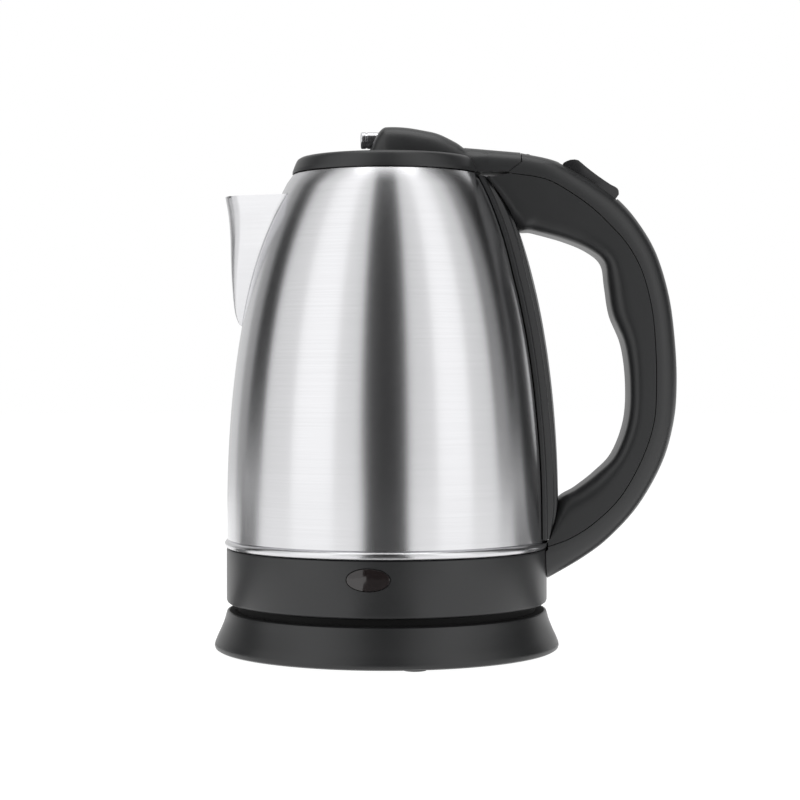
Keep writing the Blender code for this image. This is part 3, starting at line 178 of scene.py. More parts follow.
def arc(centre, radius, start, end, steps):
    """Points on a flat arc, its angles in degrees."""
    angles = [math.radians(mixed(start, end, i / steps)) for i in range(steps + 1)]
    return [(centre[0] + radius * math.cos(a), centre[1] + radius * math.sin(a)) for a in angles]


def oval(centre, half_width, half_height, steps):
    """Points once round a flat oval."""
    turns = [math.tau * i / steps for i in range(steps)]
    across, up = centre
    return [(across + half_width * math.cos(a), up + half_height * math.sin(a)) for a in turns]


def half_round(side_power, top_power, steps):
    """An arch from one side to the other. A smaller power makes that part of it squarer."""
    turns = [math.pi * i / steps for i in range(steps + 1)]
    across = [math.copysign(abs(math.cos(a)) ** side_power, math.cos(a)) for a in turns]
    return list(zip(across, [math.sin(a) ** top_power for a in turns]))


print(f"wall radius half way up: {wall_radius(wall_z(0.5)):.1f} mm")

# %% [markdown]
# ## Shader maths as plain expressions
#
# A procedural finish is arithmetic on coordinates: bands, grains and wear masks. Wiring every add
# and multiply by hand hides the idea, so `Signal` wraps a socket and turns Python's operators into
# Math nodes. `Finish` owns one material, and its `node` method makes every other kind of node.

# %% Signals and finishes


class Signal:
    """A number that varies over the surface, as the output of a node."""

    def __init__(self, finish, socket):
        self.finish, self.socket = finish, socket

    def math(self, operation, *values):
        node = self.finish.node("ShaderNodeMath", {"operation": operation}, dict(enumerate(values)))
        return Signal(self.finish, node.outputs[0])

    def __add__(self, other):
        return self.math("ADD", self, other)

    def __sub__(self, other):
        return self.math("SUBTRACT", self, other)

    def __rsub__(self, other):
        return self.math("SUBTRACT", other, self)

    def __mul__(self, other):
        return self.math("MULTIPLY", self, other)

    def __truediv__(self, other):
        return self.math("DIVIDE", self, other)

    def __rtruediv__(self, other):
        return self.math("DIVIDE", other, self)

    def __pow__(self, other):
        return self.math("POWER", self, other)

    __radd__, __rmul__ = __add__, __mul__

    def step(self, start, end):
        """0 below start, 1 above end, and a soft step between."""
        settings = {"interpolation_type": "SMOOTHSTEP"}
        values = {"Value": self, "From Min": start, "From Max": end}
        node = self.finish.node("ShaderNodeMapRange", settings, values)
        return Signal(self.finish, node.outputs[0])


class Finish:
    """One material, with its Principled shader's constants set first."""

    def __init__(self, name, colour, roughness, metallic=0.0, **constants):
        self.material = bpy.data.materials.new(name)
        self.material.use_nodes = True
        self.tree = self.material.node_tree
        self.shader = self.tree.nodes["Principled BSDF"]
        self.colour = colour
        self.shader.inputs["Base Color"].default_value = (*colour, 1)
        self.shader.inputs["Roughness"].default_value = roughness
        self.shader.inputs["Metallic"].default_value = metallic
        for socket, value in constants.items():
            self.shader.inputs[socket.replace("_", " ")].default_value = value
        coordinates = self.node("ShaderNodeTexCoord")
        self.object = coordinates.outputs["Object"]

    def node(self, kind, settings=None, values=None):
        node = self.tree.nodes.new(kind)
        for key, value in (settings or {}).items():
            setattr(node, key, value)
        for key, value in (values or {}).items():
            self.feed(node.inputs[key], value)
        return node

    def feed(self, socket, value):
        if isinstance(value, Signal):
            value = value.socket
        if isinstance(value, bpy.types.NodeSocket):
            self.tree.links.new(value, socket)
        else:
            socket.default_value = value

    def axes(self):
        """The place on the piece, as three signals in millimetres."""
        split = self.node("ShaderNodeSeparateXYZ", None, {0: self.object})
        return [Signal(self, output) / MM for output in split.outputs]

    def place(self, x, y, z):
        return self.node("ShaderNodeCombineXYZ", None, {0: x, 1: y, 2: z}).outputs[0]

    def noise(self, vector, scale, detail=2.0, roughness=0.5):
        values = {"Vector": vector, "Scale": scale, "Detail": detail, "Roughness": roughness}
        return Signal(self, self.node("ShaderNodeTexNoise", None, values).outputs["Fac"])

    def tint(self, mask, colour):
        """Mixes the base colour towards another where the mask is 1."""
        settings = {"data_type": "RGBA"}
        values = {"Factor": mask, 6: (*self.colour, 1), 7: (*colour, 1)}
        mix = self.node("ShaderNodeMix", settings, values)
        self.feed(self.shader.inputs["Base Color"], mix.outputs[2])

    def set_roughness(self, signal):
        self.feed(self.shader.inputs["Roughness"], signal)

    def bump(self, height, distance, strength=1.0):
        values = {"Height": height, "Distance": distance * MM, "Strength": strength}
        self.feed(self.shader.inputs["Normal"], self.node("ShaderNodeBump", None, values).outputs[0])


def coated(obj, material):
    obj.data.materials.clear()
    obj.data.materials.append(material)


print("shader helpers ready")

# %% [markdown]
# ## Brushed stainless steel
#
# The sheet is brushed while it turns, so its scratches are level hoops. A hoop-shaped grain is
# noise that hardly changes across the kettle and changes fast with height. The same grain feeds
# colour, roughness and a very shallow bump, and the shader's own anisotropy draws the lights out
# into the tall streaks that brushed steel shows.

# %% Steel finishes


SCRATCH_RUN, BAND_RUN = 0.012, 0.008  # noise cells per millimetre, along a scratch
BAND_SHARE = 0.04
SCRATCH_DEPTH = 0.0005


def brushed_steel(name, colour, roughness, grain):
    """Steel with `grain` scratches to the millimetre of height."""
    finish = Finish(name, colour, roughness, 1.0, Anisotropic=0.72, Anisotropic_Rotation=0.25)
    x, y, z = finish.axes()
    along = finish.place(x * SCRATCH_RUN, y * SCRATCH_RUN, z * grain)
    scratches = finish.noise(along, 1.0, 3.0, 0.75)
    along = finish.place(x * BAND_RUN, y * BAND_RUN, z * grain * 0.15)
    bands = finish.noise(along, 1.0, 2.0)
    streak = scratches * (1 - BAND_SHARE) + bands * BAND_SHARE
    finish.tint(streak.step(0.25, 0.75), [0.94 * c for c in colour])
    finish.set_roughness(streak * 0.025 + (roughness - 0.012))
    finish.bump(scratches, SCRATCH_DEPTH, 0.5)
    return finish


STEEL_BODY = brushed_steel("brushed_steel", (0.72, 0.72, 0.735), 0.25, 3.4)
STEEL_FLAT = brushed_steel("brushed_sheet", (0.78, 0.78, 0.8), 0.27, 3.2)


def plain_metal(name, colour, roughness):
    """Drawn or plated metal: cloudy, with faint pits."""
    finish = Finish(name, colour, roughness, 1.0)
    cloud = finish.noise(finish.object, 160.0, 3.0)
    pits = finish.noise(finish.object, 2400.0, 2.0)
    finish.tint(cloud.step(0.4, 0.75), [0.8 * c for c in colour])
    finish.set_roughness(cloud * 0.14 + (roughness - 0.05))
    finish.bump(pits, 0.01, 0.4)
    return finish


PLATED = plain_metal("plated_steel", (0.56, 0.56, 0.58), 0.34)
CHROME = plain_metal("chrome", (0.72, 0.72, 0.74), 0.16)
BRASS = plain_metal("brass", (0.72, 0.55, 0.27), 0.3)
ALUMINIUM = plain_metal("pressed_aluminium", (0.75, 0.75, 0.76), 0.4)
print("steel finishes:", STEEL_BODY.material.name, STEEL_FLAT.material.name)

# %% [markdown]
# ## Satin plastic, rubber and the rest
#
# The black mouldings have a fine spark-eroded grain, about a quarter of a millimetre across, which
# breaks the highlight without hiding the shape. Handling polishes it unevenly, so the roughness
# drifts a little over the surface.

# %% Plastic, rubber and lens finishes


def moulded(name, colour, roughness, grain=4200.0, depth=0.012, **constants):
    finish = Finish(name, colour, roughness, 0.0, **constants)
    texture = finish.noise(finish.object, grain, 2.0, 0.6)
    drift = finish.noise(finish.object, 45.0, 3.0)
    finish.tint(texture.step(0.35, 0.75), [1.28 * c for c in colour])
    finish.set_roughness(drift * 0.12 + texture * 0.06 + (roughness - 0.09))
    finish.bump(texture, depth, 0.55)
    return finish


PLASTIC_COLOUR = (0.017, 0.0174, 0.0181)
BLACK = moulded("satin_black_plastic", PLASTIC_COLOUR, 0.36)
GLOSS_BLACK = moulded("polished_black_plastic", (0.018, 0.018, 0.019), 0.2, depth=0.003)
# Near-black and matt, darker than the satin black: painted shade for the parts in the dark slot.
SHADE_BLACK = moulded("shadow_black_plastic", (0.006, 0.006, 0.006), 0.75)
GREY = moulded("grey_plastic", (0.3, 0.31, 0.32), 0.45)
RUBBER = moulded("black_rubber", (0.016, 0.016, 0.016), 0.7, 2500.0, 0.03)
SILICONE = moulded("grey_silicone", (0.5, 0.5, 0.48), 0.5, 2500.0, 0.01)
RED_SLEEVE = moulded("red_wire_sleeve", (0.4, 0.03, 0.03), 0.45)
BLUE_SLEEVE = moulded("blue_wire_sleeve", (0.03, 0.07, 0.35), 0.45)
LENS = moulded("smoked_lens", (0.012, 0.009, 0.009), 0.09, 900.0, 0.002, Coat_Weight=0.6)
GLASS = moulded("lamp_glass", (0.8, 0.55, 0.4), 0.08, 900.0, 0.001, Alpha=0.5)
print("plastic finishes ready")

# %% [markdown]
# ## Dressing the pieces that stay
#
# Screws, contacts, wires and the works inside keep their CAD shape, which is already right. Each
# gets the finish of what it is made of, by the material slot that the record gives it; the dark slot gets a
# near-black matt finish that paints shade.

# %% Materials for the carried-over nodes
BY_SLOT = {
    "steel_brushed": STEEL_FLAT, "plastic_black": BLACK, "plastic_dark": SHADE_BLACK, "plastic_grey": GREY,
    "steel_plain": PLATED, "aluminium": ALUMINIUM, "chrome": CHROME, "brass": BRASS,
    "silicone": SILICONE, "rubber": RUBBER, "lens_dark": LENS, "lamp_glass": GLASS,
    "wire_red": RED_SLEEVE, "wire_blue": BLUE_SLEEVE,
}
for subpart in frame["record"]["subparts"]:
    coated(NODES[subpart["node"]], BY_SLOT[subpart["material_slot"]].material)
print("dressed", len(NODES), "nodes")

# %% [markdown]
# ## Three ways to start a piece
#
# Almost every piece of a kettle is one of three things. A **turned** piece is a profile, drawn by
# extruding a single vertex from point to point, and spun round an axis. A **prism** is a flat
# outline, filled and extruded. A **sheet** is a grid laid over rows of points, for shapes such as
# a handle that no single operator draws; Solidify then gives it its wall.

# %% Selecting and naming
MERGE = 0.002 * MM  # what lies this close together is one point


def deselect():
    if bpy.context.object and bpy.context.object.mode != "OBJECT":
        bpy.ops.object.mode_set(mode="OBJECT")
    bpy.ops.object.select_all(action="DESELECT")


def select_only(obj):
    deselect()
    bpy.context.view_layer.objects.active = obj
    obj.select_set(True)


def named(name):
    """The primitive that was just added, under its own name."""
    obj = bpy.context.object
    obj.name = obj.data.name = name
    return obj


print("pieces are merged at", MERGE / MM, "mm")

# %% [markdown]
# A mesh starts as one vertex, like a pen put down on paper, and is drawn from point to point. When
# the shape is closed its loose ends are merged and its faces are turned to look outward.

# %% Drawing a mesh


def pen_down(name, point):
    """A new mesh of one vertex, in edit mode, ready to be extruded."""
    deselect()
    bpy.ops.mesh.primitive_plane_add(size=0.01, location=(0, 0, 0))
    obj = named(name)
    bpy.ops.object.mode_set(mode="EDIT")
    bpy.ops.mesh.select_mode(type="VERT")
    bpy.ops.mesh.select_all(action="SELECT")
    bpy.ops.mesh.merge(type="CENTER")
    bpy.ops.transform.translate(value=Vector(point) * MM)
    return obj


def draw(points):
    """Extrudes the selected vertex from point to point."""
    for here, there in zip(points, points[1:]):
        step = (Vector(there) - Vector(here)) * MM
        bpy.ops.mesh.extrude_region_move(TRANSFORM_OT_translate={"value": step})


def flat_face(name, corners):
    """A filled outline through the corners, left in edit mode with its face selected."""
    obj = pen_down(name, corners[0])
    draw([*corners, corners[0]])
    bpy.ops.mesh.select_all(action="SELECT")
    bpy.ops.mesh.remove_doubles(threshold=MERGE)
    bpy.ops.mesh.edge_face_add()
    return obj


def tidied(obj):
    """Merges what lies together, turns all faces outward and leaves edit mode."""
    bpy.ops.object.mode_set(mode="EDIT")
    bpy.ops.mesh.select_all(action="SELECT")
    bpy.ops.mesh.remove_doubles(threshold=MERGE)
    bpy.ops.mesh.normals_make_consistent(inside=False)
    bpy.ops.object.mode_set(mode="OBJECT")
    return obj


def applied(obj, kind, **settings):
    """Adds a modifier, sets it and applies it."""
    select_only(obj)
    modifier = obj.modifiers.new(kind.title(), kind)
    for key, value in settings.items():
        setattr(modifier, key, value)
    bpy.ops.object.modifier_apply(modifier=modifier.name)
    return obj


def rounded(obj, width, segments=3, angle=28):
    return applied(
        obj, "BEVEL", width=width * MM, segments=segments, limit_method="ANGLE",
        angle_limit=math.radians(angle), use_clamp_overlap=True, harden_normals=False,
    )


def smoothed(obj, angle=30):
    select_only(obj)
    bpy.ops.object.shade_smooth_by_angle(angle=math.radians(angle))
    return obj


print("drawing helpers ready")

# %% [markdown]
# From these come the turned piece, the prism and the sheet, with a rod and a block to cut with.

# %% Turning, extruding and cutting
LAID_ALONG = {
    "X": Matrix.Rotation(math.pi / 2, 4, "Y"),
    "Y": Matrix.Rotation(-math.pi / 2, 4, "X"),
    "Z": Matrix(),
}


def turned(name, profile, steps=160, centre=(0, 0, 0), axis="Z"):
    """(radius, height) points spun round an upright axis, or one that lies along X or Y."""
    points = [Vector((r, 0, z)) for r, z in [*profile, profile[0]]]
    if profile[0][0] == 0 and profile[-1][0] == 0:
        points.pop()
    obj = pen_down(name, points[0])
    draw(points)
    bpy.ops.mesh.select_all(action="SELECT")
    bpy.ops.mesh.spin(steps=steps, angle=math.tau, center=(0, 0, 0), axis=(0, 0, 1))
    tidied(obj)
    obj.data.transform(Matrix.Translation(Vector(centre) * MM) @ LAID_ALONG[axis])
    return obj


def rod(name, radius, start, end, steps, centre, axis="Z"):
    """A plain round rod along an axis."""
    profile = [(0, start), (radius, start), (radius, end), (0, end)]
    return turned(name, profile, steps, centre, axis)


def prism(name, outline, axis, start, end):
    """A flat outline, given along the two other axes in X, Y, Z order, extruded along `axis`."""
    corners = []
    for first, second in outline:
        corner = [first, second]
        corner.insert("XYZ".index(axis), start)
        corners.append(Vector(corner))
    obj = flat_face(name, corners)
    depth = Vector([end - start if letter == axis else 0 for letter in "XYZ"]) * MM
    bpy.ops.mesh.extrude_region_move(TRANSFORM_OT_translate={"value": depth})
    return tidied(obj)


def sheet(name, rows):
    """A grid laid over rows of points, all of one length."""
    deselect()
    across, up = len(rows[0]) - 1, len(rows) - 1
    bpy.ops.mesh.primitive_grid_add(x_subdivisions=across, y_subdivisions=up, size=1)
    obj = named(name)
    for vertex, point in zip(obj.data.vertices, [point for row in rows for point in row]):
        vertex.co = Vector(point) * MM
    return obj


def walled(obj, thickness):
    """Gives a sheet its wall, on the inner side."""
    tidied(obj)
    return applied(obj, "SOLIDIFY", thickness=thickness * MM, offset=-1.0, use_even_offset=True)


def carved(obj, *tools, operation="DIFFERENCE"):
    """Cuts with, or joins, other pieces, which are used up."""
    for tool in tools:
        applied(obj, "BOOLEAN", operation=operation, object=tool, solver="MANIFOLD")
        bpy.data.objects.remove(tool, do_unlink=True)
    return obj


def block(name, size, centre, tilt=0.0):
    """A block, turned about Y, for cutting with."""
    deselect()
    bpy.ops.mesh.primitive_cube_add(size=1)
    obj = named(name)
    scale = Matrix.Diagonal((*[side * MM for side in size], 1))
    turn = Matrix.Rotation(math.radians(tilt), 4, "Y")
    obj.data.transform(Matrix.Translation(Vector(centre) * MM) @ turn @ scale)
    return obj


def placed(piece, body, slot, finish, *nodes):
    """Gives a finished piece its material, its body and the plain nodes that it stands for."""
    coated(piece, finish.material)
    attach(piece, body)
    if nodes:
        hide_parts(*nodes)
    print(f"{piece.name}: {len(piece.data.polygons)} faces, rides on {body}")
    return piece


print("modelling helpers ready")

# %% [markdown]
# ## The vessel
#
# The kettle's body is one spun sheet: a rolled bead at the foot, the taper, and a flat lip turned
# in round the mouth. A lathe is the tool for that, so it is a turned profile with the wall's curve
# sampled finely, because brushed steel shows every facet. The pouring hole is cut afterwards.

# %% The spun body
CURVE_STEPS = 44
BEAD_FOLD_R = 1.75
FINE = 192  # steps round the large turned pieces
taper = [tuple(wall_curve(i / CURVE_STEPS)) for i in range(CURVE_STEPS, -1, -1)]
lip_low = MOUTH_Z - STEEL
mouth_hole = MOUTH_R - 3.0
bead_mid = (BEAD_Z + WALL_FOOT_Z) / 2
bead = arc((BEAD_R - BEAD_FOLD_R, bead_mid), BEAD_FOLD_R, 80, -90, 7)
body_profile = [
    (mouth_hole, MOUTH_Z - 0.25),
    (MOUTH_R - 1.2, MOUTH_Z - 0.05),
    (MOUTH_R - 0.5, MOUTH_Z - 0.15),
    *[point for point in taper if point[1] < MOUTH_Z - 0.5],
    (BODY_R, WALL_FOOT_Z + 0.5),
    (BODY_R - 0.5, WALL_FOOT_Z + 0.1),
    *bead,
    (BODY_R - STEEL - 0.4, BEAD_Z),
    (BODY_R - STEEL, WALL_FOOT_Z + 0.8),
    *[(r - STEEL, z) for r, z in taper[::-2] if z < lip_low - 1],
    (mouth_hole, lip_low),
]
body = turned("steel_body", body_profile, steps=FINE)
spout_top_z, spout_foot_z = wall_z(0.905), wall_z(0.72)
half_hole = [(4.0, spout_foot_z), (12.5, spout_top_z - 4), (8.5, spout_top_z)]
hole_outline = half_hole + [(-y, z) for y, z in half_hole[::-1]]
carved(body, prism("pouring_hole", hole_outline, "X", -BODY_R - 20, -MOUTH_R / 2))
smoothed(body)
placed(body, "kettle", "steel_brushed", STEEL_BODY, "kettle_body")

# %% [markdown]
# ## The spout
#
# The spout is a second sheet, folded to a V with a rounded nose and welded over the pouring hole.
# Its outline changes at every height, so no single operator draws it: a grid is laid over level
# outlines, blended smoothly from the few that set its shape. Solidify gives the sheet its wall.

# %% The spout
# Each section is its stand-off from the wall, its share of the wall's height and its half width.
SPOUT_SECTIONS = (
    (24.9, 0.941, 19.6), (20.2, 0.894, 17.0), (16.4, 0.845, 14.5), (13.4, 0.795, 11.9),
    (9.1, 0.711, 7.0), (4.8, 0.628, 2.6), (2.2, 0.596, 1.0), (0.4, 0.586, 0.3),
)
SPOUT_NOSE_R = 12.0


def spout_outline(stand_off, share, half_width):
    """One level outline of the spout, from one seam round the nose to the other."""
    z = wall_z(share)
    radius = wall_radius(z)
    nose_r = max(min(SPOUT_NOSE_R, 0.7 * half_width), 0.15)
    wall_x = math.sqrt(radius**2 - half_width**2)
    centre_x = radius + stand_off - nose_r
    run = centre_x - wall_x
    slope = math.atan2(half_width, run) - math.asin(min(nose_r / math.hypot(run, half_width), 1))
    tangent = 90 - math.degrees(slope)
    nose = arc((centre_x, 0), nose_r, tangent, -tangent, 12)
    shares = [i / 8 for i in range(8)]
    side = [(mixed(wall_x, nose[0][0], t), mixed(half_width, nose[0][1], t)) for t in shares]
    return [(-x, y, z) for x, y in [*side, *nose, *[(x, -y) for x, y in side[::-1]]]]


spout_rows = [spout_outline(*section) for section in smooth_path(SPOUT_SECTIONS, 8)]
spout = walled(sheet("steel_spout", spout_rows), STEEL)
smoothed(rounded(spout, 0.2, 2, 50), 40)
placed(spout, "kettle", "steel_brushed", STEEL_BODY, "spout")

# %% [markdown]
# ## The weld
#
# A laser weld joins the spout to the wall. It shows as a thin raised line, so a thin round bead
# is swept along each upright edge of the spout.

# %% The weld line
WELD_R = 0.35


def swept(name, path, radius, sides=8):
    """A round bead along a path, as rings laid square to it."""
    path = [Vector(point) for point in path]
    rows = []
    for i, point in enumerate(path):
        ahead = (path[min(i + 1, len(path) - 1)] - path[max(i - 1, 0)]).normalized()
        guide = Vector((0, 0, 1)) if abs(ahead.z) < 0.9 else Vector((0, 1, 0))
        across = ahead.cross(guide).normalized()
        up = ahead.cross(across)
        angles = [math.tau * k / sides for k in range(sides + 1)]
        rows.append([point + (across * math.cos(a) + up * math.sin(a)) * radius for a in angles])
    return smoothed(tidied(sheet(name, rows)), 80)


for side, place in ((0, "left"), (-1, "right")):
    seam = [row[side] for row in spout_rows]
    placed(swept(f"weld_{place}", seam, WELD_R), "kettle", "steel_brushed", PLATED)

# %% [markdown]
# ## The skirt and its window
#
# The plastic skirt carries the vessel. It is turned too, with soft edges, and the smoked window
# sits in an oval pocket at the front, so the pocket is cut a little larger than the window.

# %% The skirt
LENS_HALF_W, LENS_HALF_H = 9.1, 4.65
POCKET_GAP = 0.35
SKIRT_EDGE_R = 0.6
lens_x, _, lens_z = middle("indicator_lens")


def window_cutter(name, gap):
    """An oval prism through the front of the skirt, larger than the window by the gap."""
    outline = oval((lens_x, lens_z), LENS_HALF_W + gap, LENS_HALF_H + gap, 64)
    return prism(name, outline, "Y", -COLLAR_R - 6, 12 - COLLAR_R)


skirt_inside = COLLAR_R - PLASTIC
skirt_profile = [
    *arc((COLLAR_R - SKIRT_EDGE_R, COLLAR_TOP_Z - SKIRT_EDGE_R), SKIRT_EDGE_R, 90, 0, 4),
    (COLLAR_R, COLLAR_Z + 1.4),
    (COLLAR_R - 0.3, COLLAR_Z + 0.5),
    (COLLAR_R - 0.9, COLLAR_Z),
    (skirt_inside, COLLAR_Z),
    (skirt_inside, COLLAR_TOP_Z),
]
skirt = turned("skirt", skirt_profile, steps=FINE)
carved(skirt, window_cutter("window_pocket", POCKET_GAP))
smoothed(skirt)
placed(skirt, "kettle", "plastic_black", BLACK, "base_collar")

# %% [markdown]
# ## The smoked window
#
# The window is an oval of dark acrylic with a bevelled rim, and a neon lamp sits behind it. Its
# face is as round as the skirt, so it is what a turned ring and the oval prism have in common.

# %% The window
LENS_BACK_R, LENS_FACE_R = COLLAR_R - 3.4, COLLAR_R + 0.45
ring_low, ring_high = lens_z - 8, lens_z + 8
ring_profile = [
    (LENS_BACK_R, ring_low), (LENS_FACE_R, ring_low),
    (LENS_FACE_R, ring_high), (LENS_BACK_R, ring_high),
]
window = turned("window", ring_profile, steps=FINE)
carved(window, window_cutter("window_outline", 0), operation="INTERSECT")
smoothed(rounded(window, 0.7, 3, 50), 25)
placed(window, "kettle", "lens_dark", LENS, "indicator_lens")

# %% [markdown]
# ## The power base
#
# The base flares out to its foot like a bell. The kettle's skirt stands a few millimetres above
# its lip, so a dark line runs between them. The profile follows the flare with a smooth curve, and
# ends in the seat ring that carries the kettle.

# %% The power base
LIP_Z = COLLAR_Z - 3.7
TRAY_Z = 17.5
TOWER_HOLE_R = 17.3
GROOVE_R = COLLAR_R - 5.0
FLARE_DROPS = ((1.0, 0.26), (2.5, 0.48), (4.1, 0.68))  # out from the skirt, share of the way down
flare = [(COLLAR_R, LIP_Z - 1.0)]
flare += [(COLLAR_R + out, mixed(LIP_Z, BASE_EDGE_Z, share)) for out, share in FLARE_DROPS]
flare += [(BASE_R - 0.2, mixed(LIP_Z, BASE_EDGE_Z, 0.84))]
base_profile = [
    (TOWER_HOLE_R, TRAY_Z),
    (0.72 * COLLAR_R, TRAY_Z),
    (0.80 * COLLAR_R, SEAT_Z),
    (GROOVE_R - 0.5, SEAT_Z),
    (GROOVE_R, SEAT_Z - 0.5),
    (GROOVE_R, LIP_Z),
    (COLLAR_R - 0.8, LIP_Z),
    (COLLAR_R - 0.25, LIP_Z - 0.25),
    *[tuple(point) for point in smooth_path(flare, 6)],
    (BASE_R, BASE_EDGE_Z + 1.6),
    (BASE_R - 0.3, BASE_EDGE_Z + 0.6),
    (BASE_R - 1.3, BASE_EDGE_Z),
    (BASE_R - 1.3 - PLASTIC, BASE_EDGE_Z),
    (BASE_R - 1.1 - PLASTIC, 5.0),
    (COLLAR_R - PLASTIC, 12.0),
    (GROOVE_R - PLASTIC, LIP_Z - 2),
    (GROOVE_R - PLASTIC, SEAT_Z - PLASTIC),
    (0.81 * COLLAR_R, SEAT_Z - PLASTIC),
    (0.73 * COLLAR_R, TRAY_Z - PLASTIC),
    (TOWER_HOLE_R, TRAY_Z - PLASTIC),
]
base = turned("power_base_shell", base_profile, steps=FINE)
CORD_HOLE_R = 5.0
cord_hole = oval((0, middle("cord_grommet")[2]), CORD_HOLE_R, CORD_HOLE_R, 24)
carved(base, prism("cord_hole", cord_hole, "Y", BASE_R - 14, BASE_R + 4))
smoothed(base)
print("base shell:", len(base.data.polygons), "faces")

# %% [markdown]
# Hardly any light gets into the groove between base and skirt. A mask on radius and height paints
# that shade into the base's colour there, near-black, and makes it matt; elsewhere it stays satin.

# %% The base's finish, with painted shade in its groove
BASE_BLACK = moulded("base_satin_black_painted_groove_shade", PLASTIC_COLOUR, 0.36)
bx, by, bz = BASE_BLACK.axes()
inside = 1.0 - ((bx * bx + by * by) ** 0.5).step(COLLAR_R - 1.6, COLLAR_R - 0.9)
groove_painted_shade = inside * bz.step(LIP_Z - 0.3, LIP_Z - 0.05)
# Painted shade: inside the groove's radius, from the lip's top up, the colour goes near-black and the roughness
# rises, standing in for the shadow there.
BASE_BLACK.tint(groove_painted_shade, (0.001, 0.001, 0.001))
BASE_BLACK.set_roughness(groove_painted_shade * 0.5 + 0.34)
placed(base, "power_base", "plastic_black", BASE_BLACK, "base_housing")

# %% [markdown]
# ## The handle
#
# The handle is two mouldings that meet in a seam down each side: a deep grip that the fingers
# close on, and a rounded cover over its back. Both are sheets laid over the same stations: at each
# one the inner edge, the seam and the outer edge of the handle are known.

# %% The handle's stations
HANDLE_HALF_W = high("handle_grip").y
SEAM_GAP = 0.35
GRIP_CORNER_R = 7.0
# Inner edge, seam and outer edge: each is a stand-off from the wall and a share of its height.
HANDLE_STATIONS = (
    ((-2.5, 0.984), (11.0, 0.999), (17.0, 1.061)), ((3.4, 0.860), (23.8, 0.987), (31.0, 1.043)),
    ((11.5, 0.845), (30.8, 0.965), (39.5, 1.020)), ((23.7, 0.822), (39.8, 0.912), (49.4, 0.977)),
    ((33.3, 0.794), (45.8, 0.858), (56.1, 0.930)), ((38.4, 0.758), (50.7, 0.802), (60.6, 0.867)),
    ((37.4, 0.696), (53.6, 0.729), (63.8, 0.784)), ((36.8, 0.616), (54.1, 0.631), (64.6, 0.668)),
    ((39.9, 0.534), (52.9, 0.534), (63.5, 0.546)), ((39.9, 0.430), (51.1, 0.430), (61.8, 0.430)),
    ((37.4, 0.326), (48.4, 0.323), (58.9, 0.326)), ((31.0, 0.235), (41.9, 0.220), (52.7, 0.212)),
    ((22.7, 0.184), (32.0, 0.119), (41.5, 0.093)), ((13.5, 0.141), (20.5, 0.050), (28.3, 0.004)),
    ((5.5, 0.108), (10.5, 0.010), (16.5, -0.051)), ((1.5, 0.034), (2.2, -0.010), (3.5, -0.098)),
    ((-1.0, 0.026), (-1.2, -0.015), (-0.8, -0.112)),
)
edges = [smooth_path([off_wall(*station[i]) for station in HANDLE_STATIONS], 6) for i in range(3)]
stations = list(zip(*edges))


def across(start, end, outline):
    """Points of a (share, y) outline that spans from one edge of the handle to another."""
    return [start + (end - start) * share + Vector((0, y, 0)) for share, y in outline]


def cover_row(seam, outer, roundness):
    """A shallow bowl: square shoulders at the hinge, where it houses the pin, then soft ones."""
    start = SEAM_GAP / (outer - seam).length
    bowl = half_round(mixed(0.62, 0.74, roundness), mixed(0.62, 0.8, roundness), 28)
    return across(seam, outer, [(mixed(start, 1, out), y * HANDLE_HALF_W) for y, out in bowl])


def grip_row(inner, seam):
    """A deep U: flat sides, rounded corners and a flat floor under the fingers."""
    height = (seam - inner).length
    round_r = min(GRIP_CORNER_R, 0.45 * height)
    half = [(height * (1 - i / 5) + round_r * i / 5, HANDLE_HALF_W) for i in range(5)]
    for a in [math.radians(90 * i / 8) for i in range(9)]:
        side = HANDLE_HALF_W - round_r * (1 - math.cos(a))
        half.append((round_r * (1 - math.sin(a)), side))
    half.append((0, 0))
    full = half + [(u, -v) for u, v in half[-2::-1]]
    return across(inner, seam, [(u / height, v) for u, v in full])


print(len(stations), "stations along the handle")

# %% [markdown]
# ## Keeping the handle off the steel
#
# The handle's front edge follows the mounting strip that runs up the wall. One turned cutter, the
# outline of all that the handle keeps clear of, trims both mouldings along that same line. That
# is how the seam between handle and strip stays even. The grip is the first to be trimmed.

# %% What the handle keeps clear of
SEAT_GAP, FLANGE_T, STRIP_T = 0.4, 1.6, 5.0
FOOT_RAMP, TOP_RAMP = 0.11, 0.13  # shares of the wall over which the strip thins out
HANDLE_WALL = 2.2


def strip_thickness(z):
    share = (z - WALL_FOOT_Z) / WALL_H
    end = min(share / FOOT_RAMP, (1 - share) / TOP_RAMP, 1)
    return mixed(FLANGE_T, STRIP_T, math.sin(max(end, 0) * math.pi / 2))


def clear_of_wall(name):
    heights = [mixed(WALL_FOOT_Z + 1, MOUTH_Z - 1, i / 47) for i in range(48)]
    outer = [(wall_radius(z) + SEAT_GAP + strip_thickness(z) + 0.3, z) for z in heights]
    bead_r, skirt_r = BEAD_R + SEAT_GAP, COLLAR_R + 0.35
    top, foot, inside = MOUTH_Z + 20, COLLAR_Z - 5, MOUTH_R - 10
    profile = [(0, top), (inside, top), (inside, MOUTH_Z), (outer[-1][0] - 0.6, MOUTH_Z)]
    profile += outer[::-1]
    profile += [(bead_r, WALL_FOOT_Z + 0.5), (bead_r, BEAD_Z - 0.4), (skirt_r, BEAD_Z - 1.2)]
    profile += [(skirt_r, foot), (0, foot)]
    return turned(name, profile)


grip_rows = [grip_row(inner, seam) for inner, seam, _ in stations]
grip = walled(sheet("grip_moulding", grip_rows), HANDLE_WALL)
carved(grip, clear_of_wall("grip_trim"))
smoothed(grip, 34)
placed(grip, "kettle", "plastic_black", BLACK, "handle_grip")

# %% [markdown]
# ## The cover's openings
#
# The cover has a window for the on-off rocker, a slot for the lid's knuckle and a slanted front
# that leaves room for the lid's tongue. Each is a simple solid that is cut away. The rocker leans
# with the handle's back, so its window and, later, the rocker itself share one tilted frame.

# %% The cover


